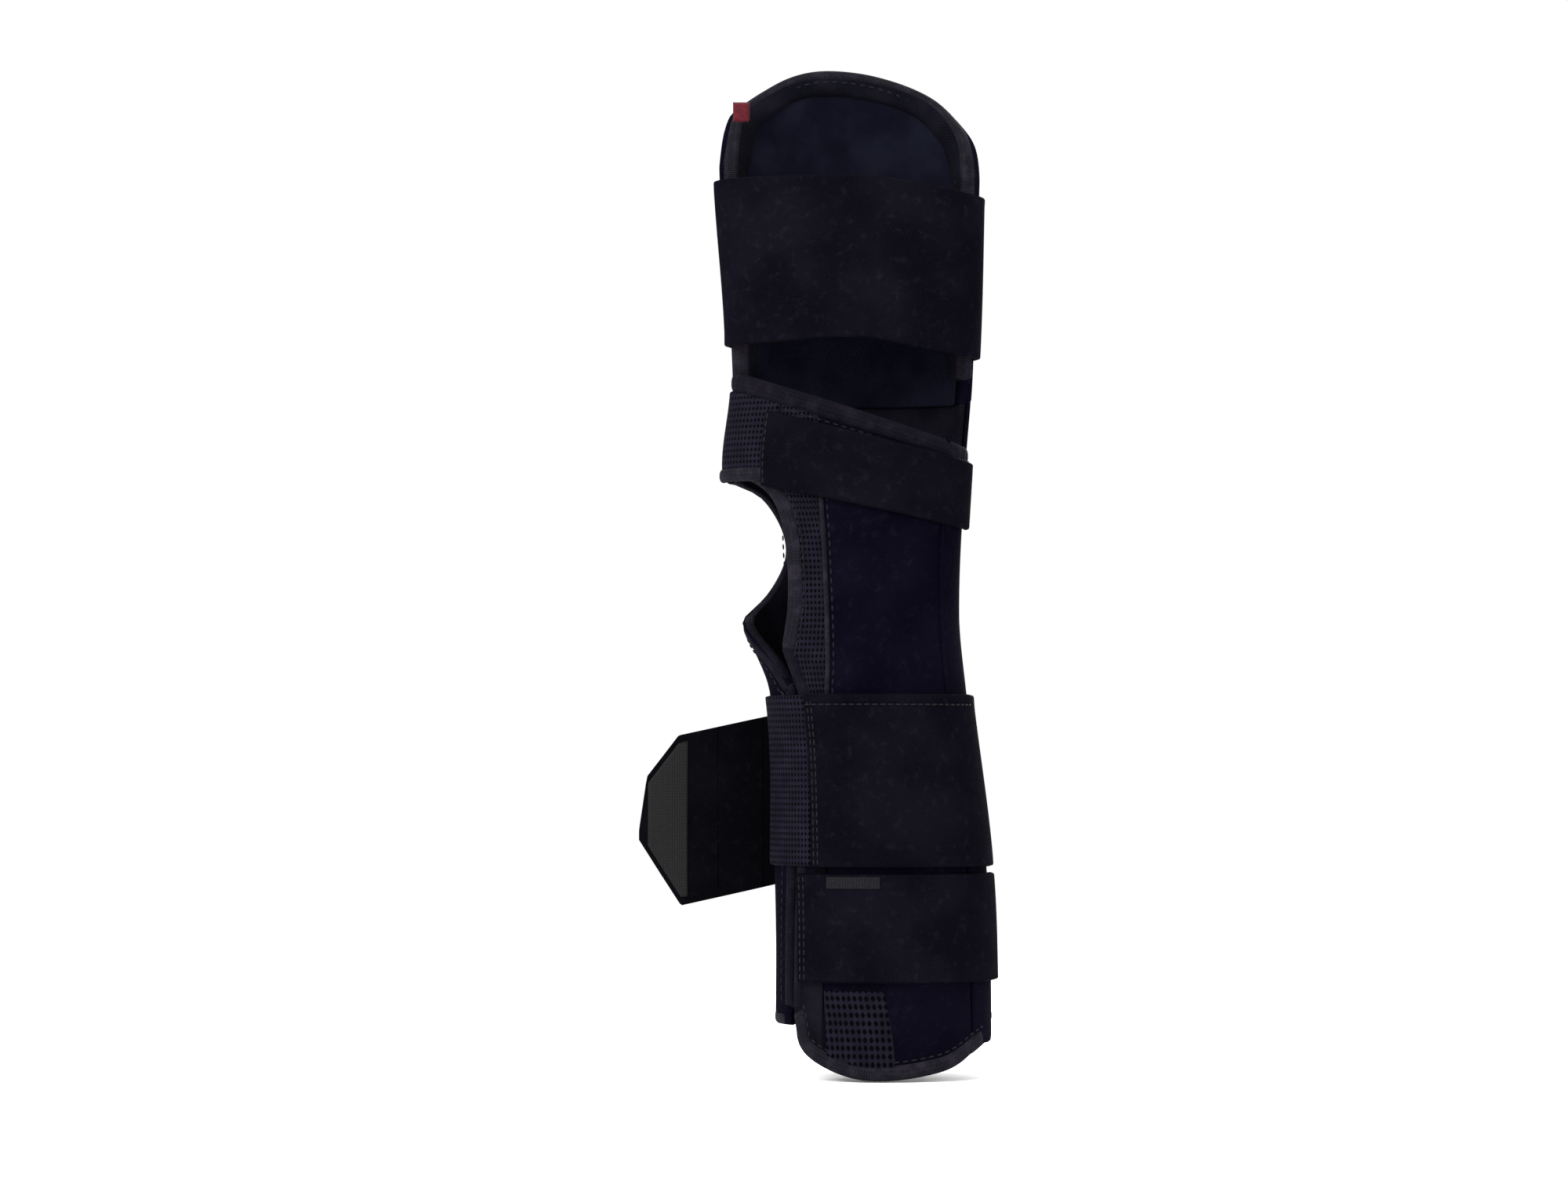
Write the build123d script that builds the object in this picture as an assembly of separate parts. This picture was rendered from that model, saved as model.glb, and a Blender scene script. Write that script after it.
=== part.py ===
from build123d import *
import os
from collections import namedtuple
from math import ceil, cos, radians, sin, sqrt

# A resting wrist and finger splint for the right hand, worn upright with the fingers up.
# +Z runs from the forearm to the fingertips, +X is the little-finger (ulnar) side, -X the
# thumb (radial) side, -Y the back of the hand and +Y the palm. The origin is the centre of
# the forearm channel, just inside the cuff. All sizes are millimetres.

# ---- Heights, each one stacked on the one before ----
CUFF_DROP = 11.0
PALMAR_START_Z = 7.0
NARROW_STRAP_Z = 22.0
NARROW_STRAP_WIDTH = 37.0
STRAP_SPACING = 2.0
WIDE_STRAP_WIDTH = 59.0
THUMB_FLOOR_RISE = 15.0
THUMB_OPENING = 58.0
HAND_COVER_LENGTH = 35.0
KNUCKLE_GAP = 11.0
FINGER_STRAP_WIDTH = 58.0
TRAY_OVERHANG = 38.5

wide_strap_z = NARROW_STRAP_Z + NARROW_STRAP_WIDTH + STRAP_SPACING
wrist_z = wide_strap_z + WIDE_STRAP_WIDTH
thumb_floor_z = wrist_z + THUMB_FLOOR_RISE
thumb_top_z = thumb_floor_z + THUMB_OPENING
distal_z = thumb_top_z + HAND_COVER_LENGTH
finger_strap_z = distal_z + KNUCKLE_GAP
tray_end_z = finger_strap_z + FINGER_STRAP_WIDTH + TRAY_OVERHANG
tray_start_z = distal_z - 6.0

# ---- The limb that the splint closes round: half width and half depth of its ellipses ----
CUFF_HALF_WIDTH = 33.6
CUFF_HALF_DEPTH = 27.0
FOREARM_HALF_WIDTH = 32.8
FOREARM_HALF_DEPTH = 26.5
WRIST_HALF_WIDTH = 30.0
WRIST_HALF_DEPTH = 23.5
THENAR_HALF_WIDTH = 34.0
THENAR_HALF_DEPTH = 21.0
PALM_HALF_WIDTH = 37.6
PALM_HALF_DEPTH = 17.0
KNUCKLE_HALF_WIDTH = 37.4
KNUCKLE_HALF_DEPTH = 15.0
TRAY_HALF_WIDTH = 40.6
TRAY_DEPTH = 13.0
TRAY_TIP_DEPTH = 3.5

# ---- Layers ----
LINING = 2.2
SKIN = 0.8
PLATE_THICKNESS = 1.5
PLATE_HALF_WIDTH = 22.0
STRAP = 1.5
HOOK = 0.45
LAYER_GAP = 0.1
BODY_GAP = 0.3
FLAP_GAP = 0.4
SEAM_GAP = 1.2
RIM_PAD = 2.4
RIM_WIDTH = 9.0
RIM_CAP = 1.2
RIM_CAP_WIDTH = 6.3
BINDING_WIDTH = 5.0
PIPING_WIDTH = 1.6
PIPING_RISE = 1.4

skin_in = LINING + LAYER_GAP
skin_out = skin_in + SKIN
cover_side_in = skin_out + LAYER_GAP
cover_side_out = cover_side_in + SKIN
plate_out = skin_in + PLATE_THICKNESS
cover_depth_in = plate_out + LAYER_GAP
cover_depth_out = cover_depth_in + SKIN
hook_in = cover_side_out + BODY_GAP
hook_out = hook_in + HOOK
strap_in = hook_out + LAYER_GAP / 2
strap_out = strap_in + STRAP

# ---- Edges in the front view, as insets from the limb's outline ----
RADIAL_WRAP_LOW = 3.4
RADIAL_WRAP_HIGH = 6.6
THUMB_INSET = 15.5
WING_RISE = 10.0
DISTAL_SLOPE = 0.327
PALM_STRAP_SLOPE = 0.17
PALM_STRAP_WIDTH = 24.5
MESH_STRIP_WIDTH = 9.0
ULNAR_SEAM_INSET = 3.0
CUFF_CORNER = 20.0
WINDOW_WIDTH = 21.0
WINDOW_HEIGHT = 20.0
WINDOW_LEAN = 4.0
WINDOW_DROP = 2.5
STRAP_HEM = 13.5
FINGER_STRAP_REACH = 8.0
TACK_LENGTH = 17.0
TACK_WIDTH = 4.0

# ---- The loose tail of the wide strap ----
TAIL_LENGTH = 52.0
TAIL_ANGLE = 16.0
TAIL_SLOPE = 0.21
TAIL_DROP = 6.0
TAIL_START = 150.0
TAIL_POINT = 14.0
TAIL_ROOT = 14.0
TAIL_HOOK_INSET = 2.5

FAR = 120.0
SECTION_STEP = 12.0
CURVE_STEPS = 12

Station = namedtuple("Station", "z centre_x centre_y half_width half_depth")
STATIONS = [
    Station(-CUFF_DROP - 5, 0.0, 0.0, CUFF_HALF_WIDTH, CUFF_HALF_DEPTH),
    Station(wide_strap_z - 6, -1.0, 0.0, FOREARM_HALF_WIDTH, FOREARM_HALF_DEPTH),
    Station(wrist_z, -5.5, -0.5, WRIST_HALF_WIDTH, WRIST_HALF_DEPTH),
    Station(thumb_floor_z + 13, -12.0, -2.0, THENAR_HALF_WIDTH, THENAR_HALF_DEPTH),
    Station(thumb_top_z + 4, -13.5, -4.0, PALM_HALF_WIDTH, PALM_HALF_DEPTH),
    Station(distal_z, -11.0, -3.0, KNUCKLE_HALF_WIDTH, KNUCKLE_HALF_DEPTH),
    Station(tray_end_z - TRAY_OVERHANG, -12.0, 0.0, TRAY_HALF_WIDTH, TRAY_DEPTH),
    Station(tray_end_z - TRAY_OVERHANG / 3, -12.0, 1.0, TRAY_HALF_WIDTH, TRAY_DEPTH * 0.73),
    Station(tray_end_z + 2, -12.0, 3.0, TRAY_HALF_WIDTH, TRAY_TIP_DEPTH),
]


def slope(index):
    """Rate of change of each station value with height, from the stations on either side."""
    low = STATIONS[max(index - 1, 0)]
    high = STATIONS[min(index + 1, len(STATIONS) - 1)]
    return [(h - l) / (high.z - low.z) for l, h in zip(low, high)]


def limb(z):
    """The limb's ellipse at height z, on a smooth curve through the stations."""
    index = 0
    while index < len(STATIONS) - 2 and z > STATIONS[index + 1].z:
        index += 1
    low, high = STATIONS[index], STATIONS[index + 1]
    span = high.z - low.z
    t = (z - low.z) / span
    values = []
    for a, b, da, db in zip(low, high, slope(index), slope(index + 1)):
        start = a * (2 * t**3 - 3 * t**2 + 1) + da * span * (t**3 - 2 * t**2 + t)
        values.append(start + b * (3 * t**2 - 2 * t**3) + db * span * (t**3 - t**2))
    return Station(*values)


def radial_x(z, inset=0.0):
    """A point in the front view, inset from the thumb side's outline."""
    at = limb(z)
    return at.centre_x - at.half_width + inset


def ulnar_x(z, inset=0.0):
    """A point in the front view, inset from the little-finger side's outline."""
    at = limb(z)
    return at.centre_x + at.half_width - inset


def surface_y(x, z, side, depth, palmar):
    """Depth of the layer offset by side and depth, where it passes x at height z."""
    at = limb(z)
    share = (x - at.centre_x) / (at.half_width + side)
    reach = (at.half_depth + depth) * sqrt(max(0.0, 1 - share**2))
    return at.centre_y + (reach if palmar else -reach)


def form(z_low, z_high, side, depth):
    """The limb between two heights, grown sideways and in depth."""
    count = max(2, ceil((z_high - z_low) / SECTION_STEP))
    sections = []
    for step in range(count + 1):
        at = limb(z_low + (z_high - z_low) * step / count)
        plane = Plane(origin=(at.centre_x, at.centre_y, at.z))
        sections.append(plane * Ellipse(at.half_width + side, at.half_depth + depth))
    return loft(sections)


def layer(z_low, z_high, inner, outer):
    """A hollow tube round the limb, between two (side, depth) offsets."""
    return form(z_low, z_high, *outer) - form(z_low - 2, z_high + 2, *inner)


def outline(*runs):
    """A front-view face bounded by runs of points: two make a line, more make a curve."""
    edges = [Line(*run) if len(run) == 2 else Spline(*run) for run in runs]
    return make_face(edges)


def prism(face, y_low, y_high):
    """A front-view face given depth."""
    facing = [piece if piece.normal_at().Z > 0 else -piece for piece in face.faces()]
    block = Part()
    for piece in facing:
        block += extrude(Pos(0, y_high, 0) * (Plane.XZ * piece), amount=y_high - y_low)
    return block


def inset(face, width):
    """A face without a border of that width, its curved edges redrawn as plain splines."""
    edges = []
    for edge in offset(face, amount=-width).face().outer_wire().edges():
        if edge.geom_type == GeomType.LINE:
            edges.append(edge)
        else:
            edges.append(Spline(*[edge @ (step / CURVE_STEPS) for step in range(CURVE_STEPS + 1)]))
    return make_face(edges)


def rect(x_low, x_high, z_low, z_high):
    """A front-view rectangle."""
    size = (x_high - x_low, z_high - z_low)
    return Pos((x_low + x_high) / 2, (z_low + z_high) / 2) * Rectangle(*size)


def dorsal(face):
    return prism(face, -FAR, -BODY_GAP)


def palmar(face):
    return prism(face, BODY_GAP, FAR)


# ---- Front-view outlines ----
def distal_edge(x):
    """Height of the hand cover's upper edge, which runs down towards the little finger."""
    return distal_z + 1.2 - DISTAL_SLOPE * (x - radial_x(distal_z))


flap_low_z = NARROW_STRAP_Z - 11
bottom_z = -CUFF_DROP
flap_corner_x = radial_x(flap_low_z, RADIAL_WRAP_LOW)
wing_x = radial_x(wrist_z, RADIAL_WRAP_HIGH)
notch_x = radial_x(thumb_floor_z + THUMB_OPENING / 2, THUMB_INSET)
notch_floor_x = radial_x(thumb_floor_z + 2, 7.5)
wing_top = (radial_x(thumb_floor_z, 2.5), thumb_floor_z)

cuff_curve = [
    (flap_corner_x, flap_low_z),
    (flap_corner_x + 4, bottom_z + 8.3),
    (flap_corner_x + CUFF_CORNER + 3, bottom_z + 0.2),
    (ulnar_x(0, 14), bottom_z + 2.9),
    (ulnar_x(0) + 4, bottom_z + 12.4),
]
thumb_curve = [
    (radial_x(thumb_top_z) - 25, thumb_top_z + 0.5),
    (radial_x(thumb_top_z) - 6, thumb_top_z + 0.5),
    (radial_x(thumb_top_z, 12), thumb_top_z - 3),
    (notch_x, thumb_top_z - THUMB_OPENING * 0.35),
    (notch_x + 0.3, thumb_floor_z + THUMB_OPENING * 0.28),
    (notch_floor_x, thumb_floor_z + 2),
]
flap_face = outline(
    cuff_curve,
    (cuff_curve[-1], (FAR, bottom_z + 20)),
    ((FAR, bottom_z + 20), (FAR, distal_edge(FAR))),
    ((FAR, distal_edge(FAR)), (thumb_curve[0][0], distal_edge(thumb_curve[0][0]))),
    ((thumb_curve[0][0], distal_edge(thumb_curve[0][0])), thumb_curve[0]),
    thumb_curve,
    (thumb_curve[-1], (wing_x, wrist_z + 1.5)),
    ((wing_x, wrist_z + 1.5), (wing_x, wide_strap_z + 8)),
    ((wing_x, wide_strap_z + 8), cuff_curve[0]),
)
flap_inside = inset(flap_face, BINDING_WIDTH)
flap_border = flap_face - flap_inside

# The palmar gutter wraps round the thumb side on to the back, up to the flap's edge.
wrap_face = outline(
    ((-FAR, PALMAR_START_Z + 8), (radial_x(PALMAR_START_Z) - 1, PALMAR_START_Z + 2)),
    ((radial_x(PALMAR_START_Z) - 1, PALMAR_START_Z + 2), (flap_corner_x - 4, PALMAR_START_Z)),
    ((flap_corner_x - 4, PALMAR_START_Z), (flap_corner_x - FLAP_GAP, PALMAR_START_Z + 11)),
    ((flap_corner_x - FLAP_GAP, PALMAR_START_Z + 11), (wing_x - FLAP_GAP, wide_strap_z + 8)),
    ((wing_x - FLAP_GAP, wide_strap_z + 8), (wing_x - FLAP_GAP, wrist_z + 1.5)),
    ((wing_x - FLAP_GAP, wrist_z + 1.5), wing_top),
    (wing_top, (-FAR, thumb_floor_z + WING_RISE + 60)),
    ((-FAR, thumb_floor_z + WING_RISE + 60), (-FAR, PALMAR_START_Z + 8)),
)
thumb_hole_curve = [
    (radial_x(thumb_top_z) - 8, thumb_top_z + 0.5),
    (radial_x(thumb_top_z, 8), thumb_top_z - 5),
    (radial_x(thumb_top_z, 17), thumb_top_z - THUMB_OPENING * 0.4),
    (radial_x(thumb_floor_z + WING_RISE, 11), thumb_floor_z + THUMB_OPENING * 0.3),
    (radial_x(thumb_floor_z + WING_RISE) - 8, thumb_floor_z + WING_RISE - 1),
]
thumb_hole = outline(
    ((-FAR, thumb_top_z + 0.5), thumb_hole_curve[0]),
    thumb_hole_curve,
    (thumb_hole_curve[-1], (-FAR, thumb_floor_z + WING_RISE - 2)),
    ((-FAR, thumb_floor_z + WING_RISE - 2), (-FAR, thumb_top_z + 0.5)),
)
gutter_face = rect(-FAR, FAR, PALMAR_START_Z, tray_start_z) - thumb_hole
gutter_long = rect(-FAR, FAR, PALMAR_START_Z, tray_start_z + BINDING_WIDTH + 1) - thumb_hole
gutter_border = gutter_face - inset(gutter_long, BINDING_WIDTH)

tray_left_z = tray_end_z - 35
tray_low = tray_start_z + LAYER_GAP
tray_side = cover_side_out
tray_face = outline(
    (
        (radial_x(tray_low) - tray_side, tray_low),
        (radial_x(finger_strap_z) - tray_side, finger_strap_z),
        (radial_x(tray_left_z) - tray_side, tray_left_z),
        (radial_x(tray_left_z) - tray_side + 4, tray_end_z - 16),
        (radial_x(tray_left_z) + 14, tray_end_z - 5.5),
        (radial_x(tray_left_z) + 34, tray_end_z),
        (ulnar_x(tray_left_z) - 18, tray_end_z - 7),
        (ulnar_x(tray_left_z) + tray_side - 3, tray_end_z - 21),
        (ulnar_x(tray_left_z) + tray_side, tray_left_z - 4),
        (ulnar_x(finger_strap_z) + tray_side, finger_strap_z),
        (ulnar_x(tray_low) + tray_side, tray_low),
    ),
    ((ulnar_x(tray_low) + tray_side, tray_low), (radial_x(tray_low) - tray_side, tray_low)),
)
tray_floor = inset(tray_face, RIM_WIDTH)
tray_open_end = rect(-FAR, FAR, tray_low, tray_low + RIM_WIDTH)
tray_ring = tray_face - tray_floor - tray_open_end
tray_cap = tray_face - inset(tray_face, RIM_CAP_WIDTH) - tray_open_end

plate_mid_x = limb(finger_strap_z).centre_x
plate_face = outline(
    (
        (-PLATE_HALF_WIDTH, PALMAR_START_Z + 4),
        (-PLATE_HALF_WIDTH, wide_strap_z),
        (limb(wrist_z).centre_x - PLATE_HALF_WIDTH * 0.8, wrist_z + 8),
        (plate_mid_x - PLATE_HALF_WIDTH, thumb_top_z),
        (plate_mid_x - PLATE_HALF_WIDTH * 1.25, tray_end_z - 45),
        (plate_mid_x, tray_end_z - 14),
        (plate_mid_x + PLATE_HALF_WIDTH * 1.25, tray_end_z - 45),
        (plate_mid_x + PLATE_HALF_WIDTH, thumb_top_z),
        (limb(wrist_z).centre_x + PLATE_HALF_WIDTH * 0.8, wrist_z + 8),
        (PLATE_HALF_WIDTH, wide_strap_z),
        (PLATE_HALF_WIDTH, PALMAR_START_Z + 4),
    ),
    ((PLATE_HALF_WIDTH, PALMAR_START_Z + 4), (-PLATE_HALF_WIDTH, PALMAR_START_Z + 4)),
)

parts = {}

# ---- The palmar splint: lining, malleable plate and cover, from the forearm to the tray ----
lining_tube = layer(bottom_z, distal_z + 14, (0, 0), (LINING, LINING))
cover_tube = layer(
    PALMAR_START_Z,
    tray_start_z,
    (cover_side_in, cover_depth_in),
    (cover_side_out, cover_depth_out),
)
gutter_zone = palmar(gutter_face) + prism(wrap_face, -FAR, BODY_GAP)
parts["palmar_gutter_lining"] = lining_tube & gutter_zone
wrap_inside = inset(wrap_face, BINDING_WIDTH)
wrap_border = wrap_face - wrap_inside - rect(-FAR, radial_x(wrist_z) - 25, -FAR, FAR * 3)
binding_zone = palmar(gutter_border) + prism(wrap_border, -FAR, BODY_GAP)
parts["palmar_cover"] = cover_tube & (gutter_zone - binding_zone)
parts["palmar_edge_binding"] = cover_tube & binding_zone
parts["palmar_plate"] = layer(
    PALMAR_START_Z,
    tray_end_z - 12,
    (skin_out - SKIN, skin_in),
    (skin_out, plate_out),
) & palmar(plate_face)

# ---- The hand tray ----
tray_depths = (tray_low, tray_end_z - 0.2)
tray_shell = layer(*tray_depths, (0, 0), (skin_in, LINING))
parts["tray_pad"] = tray_shell & palmar(tray_face)
tray_back = layer(
    *tray_depths,
    (skin_out, cover_depth_in),
    (cover_side_out, cover_depth_out),
)
parts["tray_back_cover"] = tray_back & palmar(tray_face)
rim_tube = layer(*tray_depths, (-RIM_PAD, -RIM_PAD), (-LAYER_GAP,) * 2)
parts["tray_rim_pad"] = rim_tube & prism(tray_ring, BODY_GAP * 2, FAR)
liner_tube = layer(*tray_depths, (-SKIN - LAYER_GAP,) * 2, (-LAYER_GAP,) * 2)
parts["tray_liner"] = liner_tube & palmar(tray_floor - tray_open_end)
tray_limit = form(*tray_depths, cover_side_out, cover_side_out)
parts["tray_rim_binding"] = tray_limit & prism(tray_cap, -RIM_CAP, BODY_GAP - LAYER_GAP)
tab_z = tray_end_z - 15
tab_x = radial_x(tray_left_z) - tray_side + 7.5
parts["edge_tab"] = prism(
    Pos(tab_x, tab_z) * Rot(0, 0, 60) * Rectangle(6, 3.2), -RIM_CAP - 0.8, -RIM_CAP
)

# ---- The dorsal flap and what is sewn on it ----
lining_zone = dorsal(flap_face)
parts["dorsal_lining"] = lining_tube & lining_zone
skin_tube = layer(bottom_z, distal_z + 14, (skin_in, skin_in), (skin_out, skin_out))
trim_tube = layer(
    bottom_z, distal_z + 14, (skin_in, skin_in), (skin_in + PIPING_RISE, skin_in + PIPING_RISE)
)
cuff_zone = rect(-FAR, FAR, -FAR, NARROW_STRAP_Z - 1)
distal_zone = outline(
    ((-FAR, thumb_top_z + 30), (FAR, thumb_top_z - 22)),
    ((FAR, thumb_top_z - 22), (FAR, FAR * 3)),
    ((FAR, FAR * 3), (-FAR, FAR * 3)),
    ((-FAR, FAR * 3), (-FAR, thumb_top_z + 30)),
)
thumb_zone = rect(-FAR, notch_x + 12, wrist_z - 6, FAR * 3) - distal_zone
edge_zone = rect(-FAR, wing_x + 12, NARROW_STRAP_Z - 1, wrist_z - 6)
parts["cuff_binding"] = trim_tube & dorsal(flap_border & cuff_zone)
parts["distal_binding"] = trim_tube & dorsal(flap_border & distal_zone)
parts["thumb_binding"] = trim_tube & dorsal(flap_border & thumb_zone)
parts["flap_edge_binding"] = trim_tube & dorsal(flap_border & edge_zone)

seam_low = (wing_x + 9.5, wrist_z - 14)
seam_high = (notch_x + MESH_STRIP_WIDTH, thumb_top_z + 4)
seam_top = (notch_x + MESH_STRIP_WIDTH - 4, distal_edge(notch_x) + 10)
left_of_seam = outline(
    ((-FAR, seam_low[1]), seam_low),
    (seam_low, seam_high),
    (seam_high, seam_top),
    (seam_top, (-FAR, seam_top[1])),
    ((-FAR, seam_top[1]), (-FAR, seam_low[1])),
)
seam_strip = outline(
    (seam_low, seam_high),
    (seam_high, (seam_high[0] + PIPING_WIDTH, seam_high[1])),
    ((seam_high[0] + PIPING_WIDTH, seam_high[1]), (seam_low[0] + PIPING_WIDTH, seam_low[1])),
    ((seam_low[0] + PIPING_WIDTH, seam_low[1]), seam_low),
)
web_face = rect(-FAR, FAR, seam_high[1], FAR * 3) & left_of_seam & flap_inside
mesh_face = rect(-FAR, FAR, seam_low[1], seam_high[1] - LAYER_GAP) & left_of_seam & flap_inside
ulnar_heights = (bottom_z, wide_strap_z, wrist_z, thumb_floor_z + 25, distal_z)
ulnar_points = [(ulnar_x(z, ULNAR_SEAM_INSET), z) for z in ulnar_heights]
ulnar_right = [(x + PIPING_WIDTH, z) for x, z in ulnar_points]
ulnar_strip = outline(
    tuple(ulnar_points),
    (ulnar_points[-1], ulnar_right[-1]),
    tuple(reversed(ulnar_right)),
    (ulnar_right[0], ulnar_points[0]),
)
ulnar_face = outline(
    tuple(ulnar_right),
    (ulnar_right[-1], (FAR, distal_z)),
    ((FAR, distal_z), (FAR, bottom_z)),
    ((FAR, bottom_z), ulnar_right[0]),
)
window_left = flap_corner_x + 9.5
window_top = NARROW_STRAP_Z - WINDOW_DROP
window_low = window_top - WINDOW_HEIGHT
window_face = outline(
    ((window_left, window_top), (window_left + WINDOW_WIDTH, window_top)),
    ((window_left + WINDOW_WIDTH, window_top), (window_left + WINDOW_WIDTH + WINDOW_LEAN, window_low)),
    ((window_left + WINDOW_WIDTH + WINDOW_LEAN, window_low), (window_left, window_low)),
    ((window_left, window_low), (window_left, window_top)),
)
panel_face = flap_inside - left_of_seam - seam_strip - ulnar_strip - ulnar_face - window_face
ulnar_side = ulnar_face & flap_inside
parts["dorsal_panel"] = skin_tube & dorsal(panel_face)
parts["radial_mesh_strip"] = skin_tube & dorsal(mesh_face)
parts["web_panel"] = skin_tube & dorsal(web_face)
parts["ulnar_side_panel"] = skin_tube & dorsal(ulnar_side)
parts["cuff_mesh_window"] = skin_tube & dorsal(window_face)
parts["radial_piping"] = trim_tube & dorsal(seam_strip & flap_inside)
parts["ulnar_piping"] = trim_tube & dorsal(ulnar_strip & flap_inside)


# ---- Straps ----
def band(z_low, z_high, inner, outer, face, y_low, y_high):
    """Part of a strap that lies on the splint."""
    return layer(z_low, z_high, inner, outer) & prism(face, y_low, y_high)


strap_offsets = ((strap_in, strap_in), (strap_out, strap_out))
hook_offsets = ((hook_in, hook_in), (hook_out, hook_out))
end_y = -1.0

wide_low, wide_high = wide_strap_z, wide_strap_z + WIDE_STRAP_WIDTH
hem_x = radial_x(wrist_z, STRAP_HEM - 4)
parts["wide_strap_dorsal"] = band(
    wide_low, wide_high, *strap_offsets, rect(hem_x, FAR, wide_low, wide_high), -FAR, -BODY_GAP
)
parts["wide_strap_mesh_end"] = band(
    wide_low,
    wide_high,
    *strap_offsets,
    rect(-FAR, hem_x - LAYER_GAP, wide_low, wide_high),
    -FAR,
    -BODY_GAP,
)
tail_mid_z = (wide_low + wide_high) / 2
tail_at = limb(tail_mid_z)
tail_half_width = tail_at.half_width + strap_out
tail_half_depth = tail_at.half_depth + strap_out
tail_x = tail_at.centre_x + tail_half_width * cos(radians(TAIL_START))
tail_y = tail_at.centre_y + tail_half_depth * sin(radians(TAIL_START))
parts["wide_strap_palmar"] = band(
    wide_low,
    wide_high,
    *strap_offsets,
    rect(tail_x + SEAM_GAP / 2, FAR, wide_low, wide_high),
    BODY_GAP,
    FAR,
)

narrow_low, narrow_high = NARROW_STRAP_Z, NARROW_STRAP_Z + NARROW_STRAP_WIDTH
narrow_hinge_x = flap_corner_x + 8.0
parts["narrow_strap_anchor"] = band(
    narrow_low,
    narrow_high,
    *strap_offsets,
    rect(flap_corner_x, narrow_hinge_x - SEAM_GAP / 2, narrow_low, narrow_high),
    -FAR,
    -BODY_GAP,
)
parts["narrow_strap"] = band(
    narrow_low,
    narrow_high,
    *strap_offsets,
    rect(narrow_hinge_x + SEAM_GAP / 2, FAR, narrow_low, narrow_high),
    -FAR,
    end_y,
)
narrow_hook = rect(ulnar_x(narrow_low, 22), FAR, narrow_low + 3, narrow_high - 3)
parts["narrow_strap_hook"] = band(
    narrow_low, narrow_high, *hook_offsets, narrow_hook, -FAR, end_y - 2
)
tack_z = narrow_high - TACK_WIDTH / 2 - 1
tack_offsets = ((strap_out + LAYER_GAP / 2,) * 2, (strap_out + 0.45,) * 2)
parts["narrow_strap_tack"] = band(
    narrow_low,
    narrow_high,
    *tack_offsets,
    Pos(narrow_hinge_x + 3 + TACK_LENGTH / 2, tack_z) * Rectangle(TACK_LENGTH, TACK_WIDTH),
    -FAR,
    -BODY_GAP,
)

palm_hinge_x = notch_x - 2.5


def palm_strap_run(x_low, x_high, trim=0.0):
    """The palm strap's slanting outline between two places across the hand."""
    def top(x):
        return thumb_top_z + 20.5 - trim - PALM_STRAP_SLOPE * (x - palm_hinge_x)

    def low(x):
        return top(x) - PALM_STRAP_WIDTH + 2 * trim

    return outline(
        ((x_low, low(x_low)), (x_high, low(x_high))),
        ((x_high, low(x_high)), (x_high, top(x_high))),
        ((x_high, top(x_high)), (x_low, top(x_low))),
        ((x_low, top(x_low)), (x_low, low(x_low))),
    )


palm_range = (thumb_floor_z + 8, distal_z + 12)
parts["palm_strap_anchor"] = band(
    *palm_range,
    *strap_offsets,
    palm_strap_run(-FAR, palm_hinge_x - SEAM_GAP / 2),
    -FAR,
    -BODY_GAP,
)
parts["palm_strap"] = band(
    *palm_range, *strap_offsets, palm_strap_run(palm_hinge_x + SEAM_GAP / 2, FAR), -FAR, end_y - 2
)
parts["palm_strap_hook"] = band(
    *palm_range,
    *hook_offsets,
    palm_strap_run(ulnar_x(thumb_top_z, 20), FAR, trim=2.5),
    -FAR,
    end_y - 4,
)

finger_low, finger_high = finger_strap_z, finger_strap_z + FINGER_STRAP_WIDTH
finger_hinge_x = ulnar_x(finger_low, 10)
anchor_zone = prism(
    rect(limb(finger_low).centre_x + 4, FAR, finger_low, finger_high), BODY_GAP, FAR
) + prism(
    rect(finger_hinge_x + SEAM_GAP / 2, FAR, finger_low, finger_high), -FAR, BODY_GAP
)
parts["finger_strap_anchor"] = layer(finger_low, finger_high, *strap_offsets) & anchor_zone
parts["finger_strap"] = band(
    finger_low,
    finger_high,
    *strap_offsets,
    rect(-FAR, finger_hinge_x - SEAM_GAP / 2, finger_low, finger_high),
    -FAR,
    FINGER_STRAP_REACH,
)
hook_side = rect(-FAR, radial_x(finger_low, 6), finger_low + 3, finger_high - 3)
parts["finger_strap_hook"] = band(
    finger_low, finger_high, *hook_offsets, hook_side, 0, FINGER_STRAP_REACH - 1.5
)

# ---- The tail, three short runs that fold one after another round the wrist ----
tail_plane = Plane(
    origin=(tail_x, tail_y, 0),
    x_dir=(-cos(radians(TAIL_ANGLE)), -sin(radians(TAIL_ANGLE)), 0),
    z_dir=(-sin(radians(TAIL_ANGLE)), cos(radians(TAIL_ANGLE)), 0),
)
tail_top = wide_high - TAIL_DROP
tail_low = wide_low - TAIL_DROP


def tail_z(start, run):
    return start - TAIL_SLOPE * run


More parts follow.
